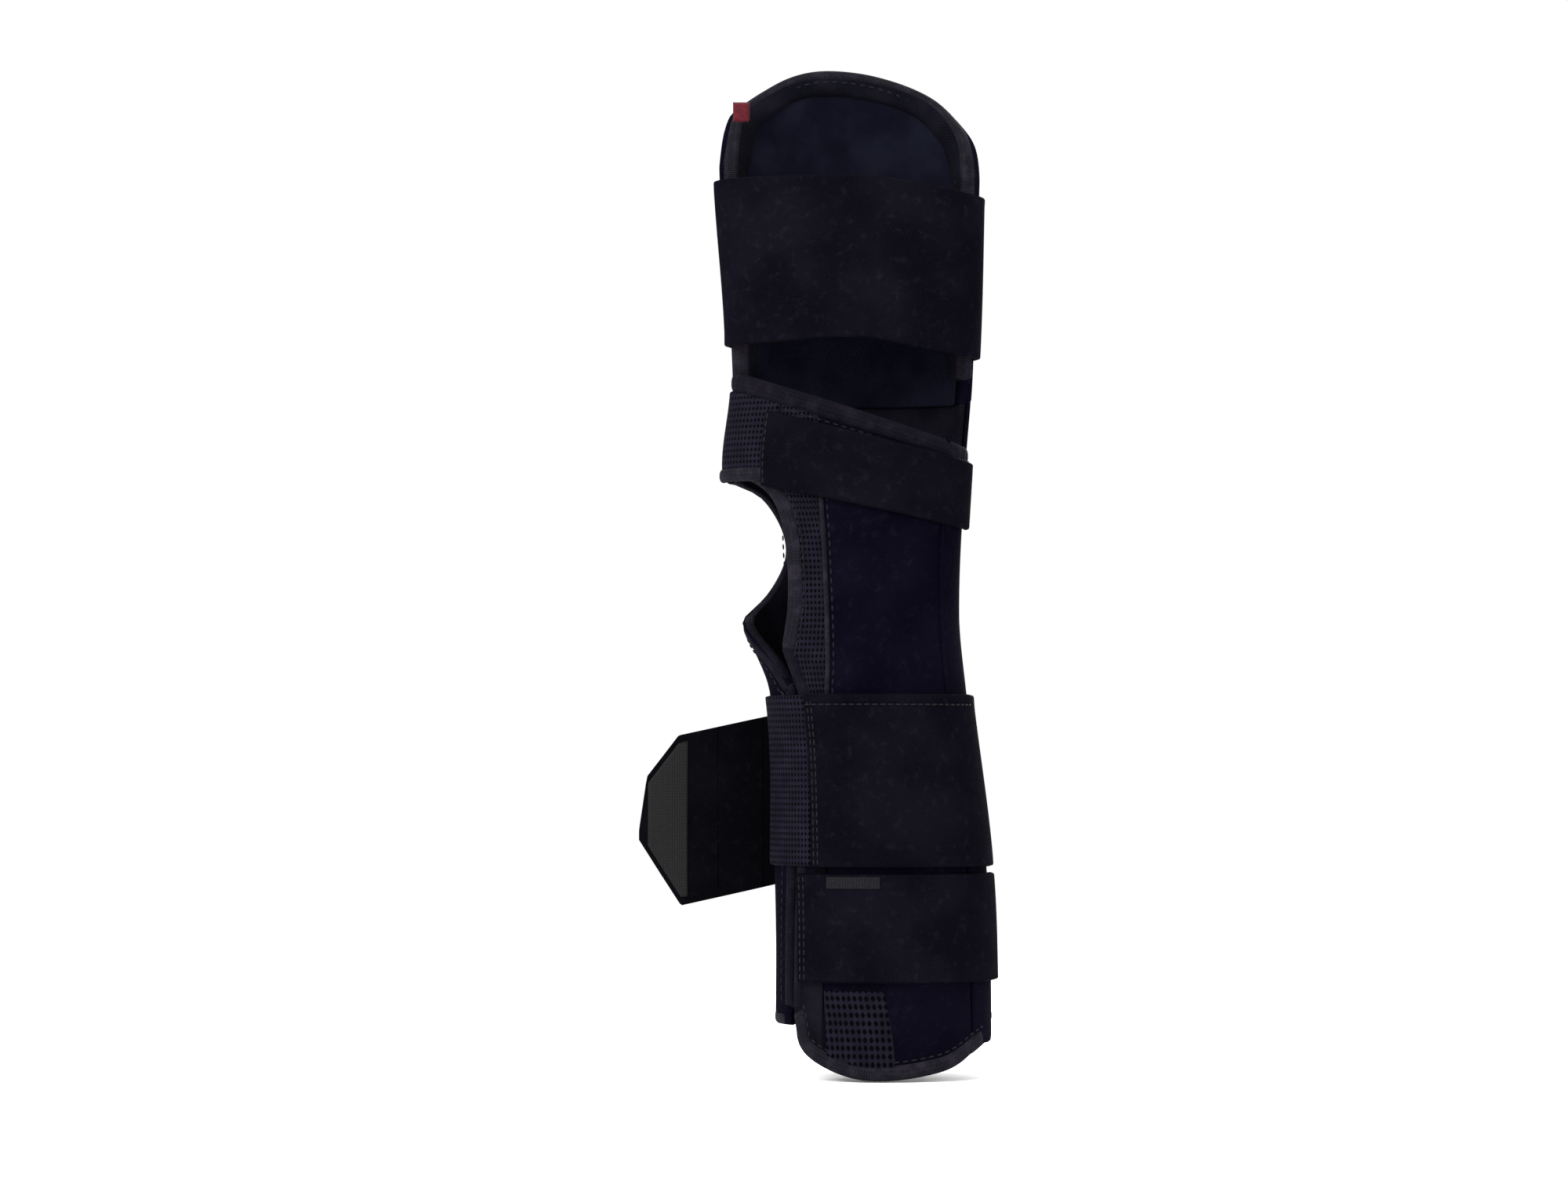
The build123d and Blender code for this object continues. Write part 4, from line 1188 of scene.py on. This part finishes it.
# %% Narrow cuff strap
narrow_first = float(angle_at(corner_x - 0.2, 40, out=STRAP_OUT))
narrow_strap = strap(
    "narrow_cuff_strap", narrow_first, -0.03, level(narrow_low), level(narrow_high), STRAP_IN, STRAP_OUT,
    columns=110, rows=34, edge=0.9, wave=0.25, wave_size=22, seed=14,
    stands_for=["narrow_strap_anchor", "narrow_strap"], slot="strap_webbing",
)
as_sheet(narrow_strap)
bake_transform(narrow_strap)

# %% [markdown]
# The palm strap slants down to the little-finger side, and its lower edge slants a little less. The mesh
# cover and its binding over the base of the thumb hold its sewn end.

# %% Palm strap and the web edge that it is sewn to
palm_hinge = -35.64


def slanting(angle, start, slope):
    """Heights at the angles on a line that falls by the slope across the front view, from the palm hinge."""
    height = np.full_like(np.asarray(angle, float), thumb_top + 12)
    for _ in range(6):
        height = start - slope * (x_of(angle, height) - palm_hinge)
    return height


def palm_top(angle):
    return slanting(angle, thumb_top + 22.3, 0.24)


def palm_low(angle):
    return slanting(angle, thumb_top - 3.7, 0.198)


palm_first = float(angle_at(palm_hinge - 7, thumb_top + 10, out=STRAP_OUT))
palm_strap = strap(
    "palm_strap", palm_first, 0.0, palm_low, palm_top, STRAP_IN, STRAP_OUT,
    columns=110, rows=30, edge=0.9, wave=0.25, wave_size=20, seed=15,
    stands_for=["palm_strap_anchor", "palm_strap"], slot="strap_webbing",
)
as_sheet(palm_strap)
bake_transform(palm_strap)
cover_base = thumb_top + 0.2


def cover_top(angle):
    return flap_top(angle) - 5.5


angle, z = rows_between(
    column(-np.pi - 0.02, cover_base, distal - 3), column(palm_first + 0.12, cover_base, distal - 3),
    level(cover_base), cover_top, 34, 34,
)
web_cover = cloth(
    "thumb_web_cover", angle, z, SKIN_OUT + 0.3, SKIN_OUT + 1.5, spacer_mesh, edge=1.0, wave=0.35,
    wave_size=9, seed=16, body="dorsal_flap", slot="spacer_mesh", crown=0.5,
)
as_sheet(web_cover)
tape(
    "thumb_web_binding", row(level(thumb_top + 2.0), -np.pi - 0.06, palm_first + 0.16, 70), 2.4,
    SKIN_OUT - 0.6, STRAP_OUT - 0.6,
    binding_tape, square=2.4, body="dorsal_flap", slot="binding_tape",
)

# %% [markdown]
# The finger strap crosses the tray's mouth. Its sewn end goes on round the little-finger side and a
# little way across the back of the tray.

# %% Finger strap
finger_first, finger_end = -np.pi - 0.42, np.radians(10)


def finger_tilt(angle, z):
    """How far the strap's edge drops towards the little finger."""
    return -0.16 * np.clip(x_of(angle, z) + 2, 0, 60)


def finger_top(angle):
    return finger_high + finger_tilt(angle, finger_high)


def finger_bottom(angle):
    """The lower edge: it drops with the upper one, and bows up a little over the middle finger."""
    bow = 1.6 * np.exp(-((x_of(angle, finger_low) + 14) / 18) ** 2)
    return finger_low + 0.5 + finger_tilt(angle, finger_low) * 0.8 + bow


finger_strap = strap(
    "finger_strap", finger_first, finger_end, finger_bottom, finger_top, STRAP_IN, STRAP_OUT,
    columns=150, rows=44, edge=0.9, wave=0.3, wave_size=22, seed=17, stands_for=["finger_strap"],
    slot="strap_webbing",
)
as_sheet(finger_strap)
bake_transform(finger_strap)
finger_anchor = strap(
    "finger_strap_anchor", finger_end - 0.02, np.radians(58), finger_bottom, finger_top, STRAP_IN, STRAP_OUT,
    columns=40, rows=44, edge=0.9, seed=18, wave=0.2, stands_for=["finger_strap_anchor"],
    slot="strap_webbing", body="palmar_splint",
)
as_sheet(finger_anchor)

# %% [markdown]
# ## The loose tail
# The wide strap runs on past the thumb side and hangs free, its pointed end faced with hook tape. It
# folds at three lines. Here it is three flat pieces that overlap a little where they meet; the table's folds
# and bodies are not used.

# %% Tail of the wide strap
TAIL_AT = np.array([-35.03, 15.59])
TAIL_WAY = np.array([-np.cos(np.radians(16)), -np.sin(np.radians(16))])
TAIL_OUT = np.array([-np.sin(np.radians(16)), np.cos(np.radians(16))])


def tail_low_at(run):
    base = wide_low - 6 - 0.21 * run
    return np.where(
        run > 37, np.interp(run, [37, 52], [wide_low - 6 - 0.21 * 37, wide_low - 6 - 0.21 * 52 + 26]), base,
    )


def tail_high_at(run):
    top = wrist - 6
    slant = np.interp(
        run, [38, 49, 52], [top - 0.21 * 38, top - 0.21 * 52 - 11, wide_low - 6 - 0.21 * 52 + 28],
    )
    return np.where(run > 38, slant, top - 0.21 * run)


def tail_run(name, first, last, inner, outer, material, margin=0.0, rows=40, columns=50, **rest):
    run = np.broadcast_to(first + (last - first) * eased(columns, 0.7), (rows, columns))
    low, high = tail_low_at(run) + margin, tail_high_at(run) - margin
    z = low + (high - low) * eased(rows, 0.7)[:, None]
    near_run = np.minimum(run - first, last - run)
    near = np.minimum(near_run, np.minimum(z - low, high - z))
    roll = np.sqrt(np.clip(1 - (1 - np.clip(near / 0.9, 0, 1)) ** 2, 0, 1))
    ripple = 0.5 * np.sin(run / 9 + z / 17) * np.clip(run / 12, 0, 1)
    grids = []
    for depth in (inner + 0 * roll, inner + (outer - inner) * roll):
        off = depth + ripple
        grids.append(np.stack([
            TAIL_AT[0] + TAIL_WAY[0] * run + TAIL_OUT[0] * off,
            TAIL_AT[1] + TAIL_WAY[1] * run + TAIL_OUT[1] * off, z
        ], -1))
    made = shell(name, grids[0], grids[1], material, np.stack([run, z], -1), **rest)
    made["cut_width"], made["cut_length"] = (last - first) * MM, float((high - low).mean()) * MM
    return made


tail_parts = [
    ("wide_strap_tail_root", -2.6, 8.0, "palmar_splint", "tail_root", 1.0, "strap_tail_root"),
    ("wide_strap_tail_middle", 7.6, 24.0, "tail_root", "tail_middle", 14.0, "strap_tail_middle"),
    ("wide_strap_tail_tip", 23.6, 52.0, "tail_middle", "tail_tip", 33.0, "strap_tail_tip"),
]
for name, first, last, before, after, fold, node in tail_parts:
    piece = tail_run(name, first, last, -1.5, 0.0, tail_fabric, stands_for=[node], slot="strap_webbing")
    as_sheet(piece)
    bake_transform(piece)
tail_hook = tail_run(
    "wide_strap_tail_hook", 34.5, 49.0, -1.6, -2.1, hook_tape, margin=2.6, rows=30, columns=24,
    stands_for=["tail_hook_patch"], slot="hook_tape", body="tail_tip",
)
as_sheet(tail_hook)

# %% [markdown]
# ## Stitching and the parts that keep their shape
# Rows of stitches run along every binding and across each strap end. The hook patches and the metal
# plate are stiff, so their solids stay and take a finish of their own.

# %% Rows of stitches
flap_rows = [
    inset_line(knuckle_line, 6.9), inset_line(cuff_hem_line, -6.0),
    inset_line(radial_seam[(radial_seam[:, 1] > wrist) & (radial_seam[:, 1] < thumb_top + 4)], 2.0),
    inset_line(even_seam(notch_left), 5.8),
]
stitch_rows("flap_stitches", "dorsal_flap", flap_rows, SKIN_OUT + 0.35, pitch=3.0)
stitch_rows("tray_stitches", "palmar_splint", [inset_line(rim_edge, -3.6)[8:-8]], -2.9, pitch=3.2)
pocket_base, pocket_height, pocket_round = gutter_low + 9, tray_tip - 40, 14
pocket_side = np.stack(
    [np.radians(np.linspace(128, 118, 60)), np.linspace(pocket_base, pocket_height, 60)], 1,
)
pocket = inset_line(pocket_side, 0)
pocket_far = pocket * [-1, 1] + [np.pi, 0]
pocket_arch = pocket_height + pocket_round * np.sin(np.linspace(0, np.pi, 60))
pocket_top = np.stack([np.linspace(pocket[-1, 0], pocket_far[-1, 0], 60), pocket_arch], 1)
stitch_rows("gutter_stitches", "palmar_splint", [
    inset_line(gutter_left[4:], -5.6), pocket, pocket_far, pocket_top,
], COVER_OUT + 0.3, pitch=3.0, deeper=PLATE_RISE)
stitch_rows("wide_strap_stitches", "dorsal_flap", [
    column(wide_left + 0.05, wide_low + 2, wrist - 3), column(wide_left + 0.09, wide_low + 2, wrist - 3),
    row(level(wrist - 3.6), wide_left + 0.05, -0.35),
], STRAP_OUT + 0.12, pitch=2.6)
stitch_rows("narrow_strap_stitches", "dorsal_flap", [
    column(narrow_first + 0.06, narrow_low + 2, narrow_high - 2),
    column(narrow_first + 0.11, narrow_low + 2, narrow_high - 2)
], STRAP_OUT + 0.12, pitch=2.6)
tack_low, tack_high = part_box("narrow_strap_tack")
tack_rows = []
for height in np.linspace(tack_low[2] / MM + 0.3, tack_high[2] / MM - 0.3, 9):
    across = np.linspace(tack_low[0] / MM, tack_high[0] / MM, 24)
    tack_rows.append(round_limb(np.stack([across, np.full(24, height)], 1), out=STRAP_OUT))
tack_thread = thread_finish("tack_thread", (0.0008, 0.0007, 0.0013), (0.0062, 0.0055, 0.0085))
tack = stitch_rows(
    "narrow_strap_tack_stitches", "narrow_strap", tack_rows, STRAP_OUT + 0.2, pitch=0.95, long=0.62,
    wide=0.3, dye=tack_thread,
)
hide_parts("narrow_strap_tack")
palm_end = column(palm_first + 0.04, float(palm_low(palm_first)) + 2, float(palm_top(palm_first)) - 2, 30)
palm_row = stitch_rows("palm_strap_stitches", "dorsal_flap", [palm_end], STRAP_OUT + 0.12, pitch=2.6)
print(
    "stitch faces in the tack bar", len(tack.data.polygons), "and in the palm strap's row",
    len(palm_row.data.polygons),
)

# %% [markdown]
# The hook patches and the plate are stiff, so their own solids show. Each takes a finish here.

# %% Finishes on the stiff parts
for node, finish in {
    "palm_strap_hook": hook_tape, "narrow_strap_hook": hook_tape, "finger_strap_hook": hook_tape,
    "palmar_plate": plate_metal,
}.items():
    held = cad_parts[node]
    held.data.materials.clear()
    held.data.materials.append(finish)

# %% [markdown]
# ## Setting the stage
# A long lens looks straight at the back of the hand. Four soft lights and a white surround keep every
# shadow open, since black cloth shows its form only by what it reflects.

# %% Camera and light
stage_low = min(cad_box[0][2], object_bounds()[0][2]) / MM - 0.4
camera = bpy.data.cameras.new("camera")
camera.lens, camera.sensor_width = 106.6, 36
camera.shift_x, camera.shift_y = -0.0455, 0.1025
viewer = bpy.data.objects.new("camera", camera)
COLLECTION.objects.link(viewer)
viewer.location = (-0.010, -1.600, 0.100)
viewer.rotation_euler = (np.pi / 2, 0, 0)
bpy.context.scene.camera = viewer
bpy.context.scene.view_settings.view_transform = "Standard"


def soft_light(name, place, aim, width, height, power):
    lamp = bpy.data.lights.new(name, "AREA")
    lamp.shape, lamp.size, lamp.size_y, lamp.energy = "RECTANGLE", width, height, power
    held = bpy.data.objects.new(name, lamp)
    COLLECTION.objects.link(held)
    held.location = place
    held.rotation_euler = (Vector(aim) - Vector(place)).to_track_quat("-Z", "Y").to_euler()
    return held


soft_light("key", (-0.75, -0.75, 0.85), (0, 0, 0.16), 0.7, 0.7, 22)
soft_light("fill", (0.85, -0.8, 0.35), (0, 0, 0.16), 0.9, 0.9, 9)
soft_light("top", (0.0, 0.1, 1.1), (0, 0, 0.1), 0.9, 0.6, 9)
soft_light("back", (0.3, 0.9, 0.6), (0, 0, 0.16), 0.9, 0.7, 8)

world = bpy.data.worlds.new("studio")
world.use_nodes = True
world.node_tree.nodes["Background"].inputs["Color"].default_value = (1, 1, 1, 1)
world.node_tree.nodes["Background"].inputs["Strength"].default_value = 1.0
bpy.context.scene.world = world

paper = Finish("studio_paper", (0.93, 0.93, 0.93), 0.9, specular=0.1)
fleck = paper.noise(40, 2, 0.5)
paper.tint(fleck, (0.92, 0.92, 0.92), (0.94, 0.94, 0.94))
sheet_floor = bpy.data.meshes.new("studio_floor")
reach = 1.6
sheet_floor.from_pydata(
    [
        (-reach, -reach, stage_low * MM), (reach, -reach, stage_low * MM), (reach, reach, stage_low * MM),
        (-reach, reach, stage_low * MM),
    ],
    [], [(0, 1, 2, 3)],
)
floor = bpy.data.objects.new("studio_floor", sheet_floor)
floor.data.materials.append(paper.material)
COLLECTION.objects.link(floor)
print("camera at", [round(value, 2) for value in viewer.location], "floor at", round(stage_low, 1))

# %% Sizes and finish
print("CAD box", [[round(v / MM, 1) for v in c] for c in cad_box])
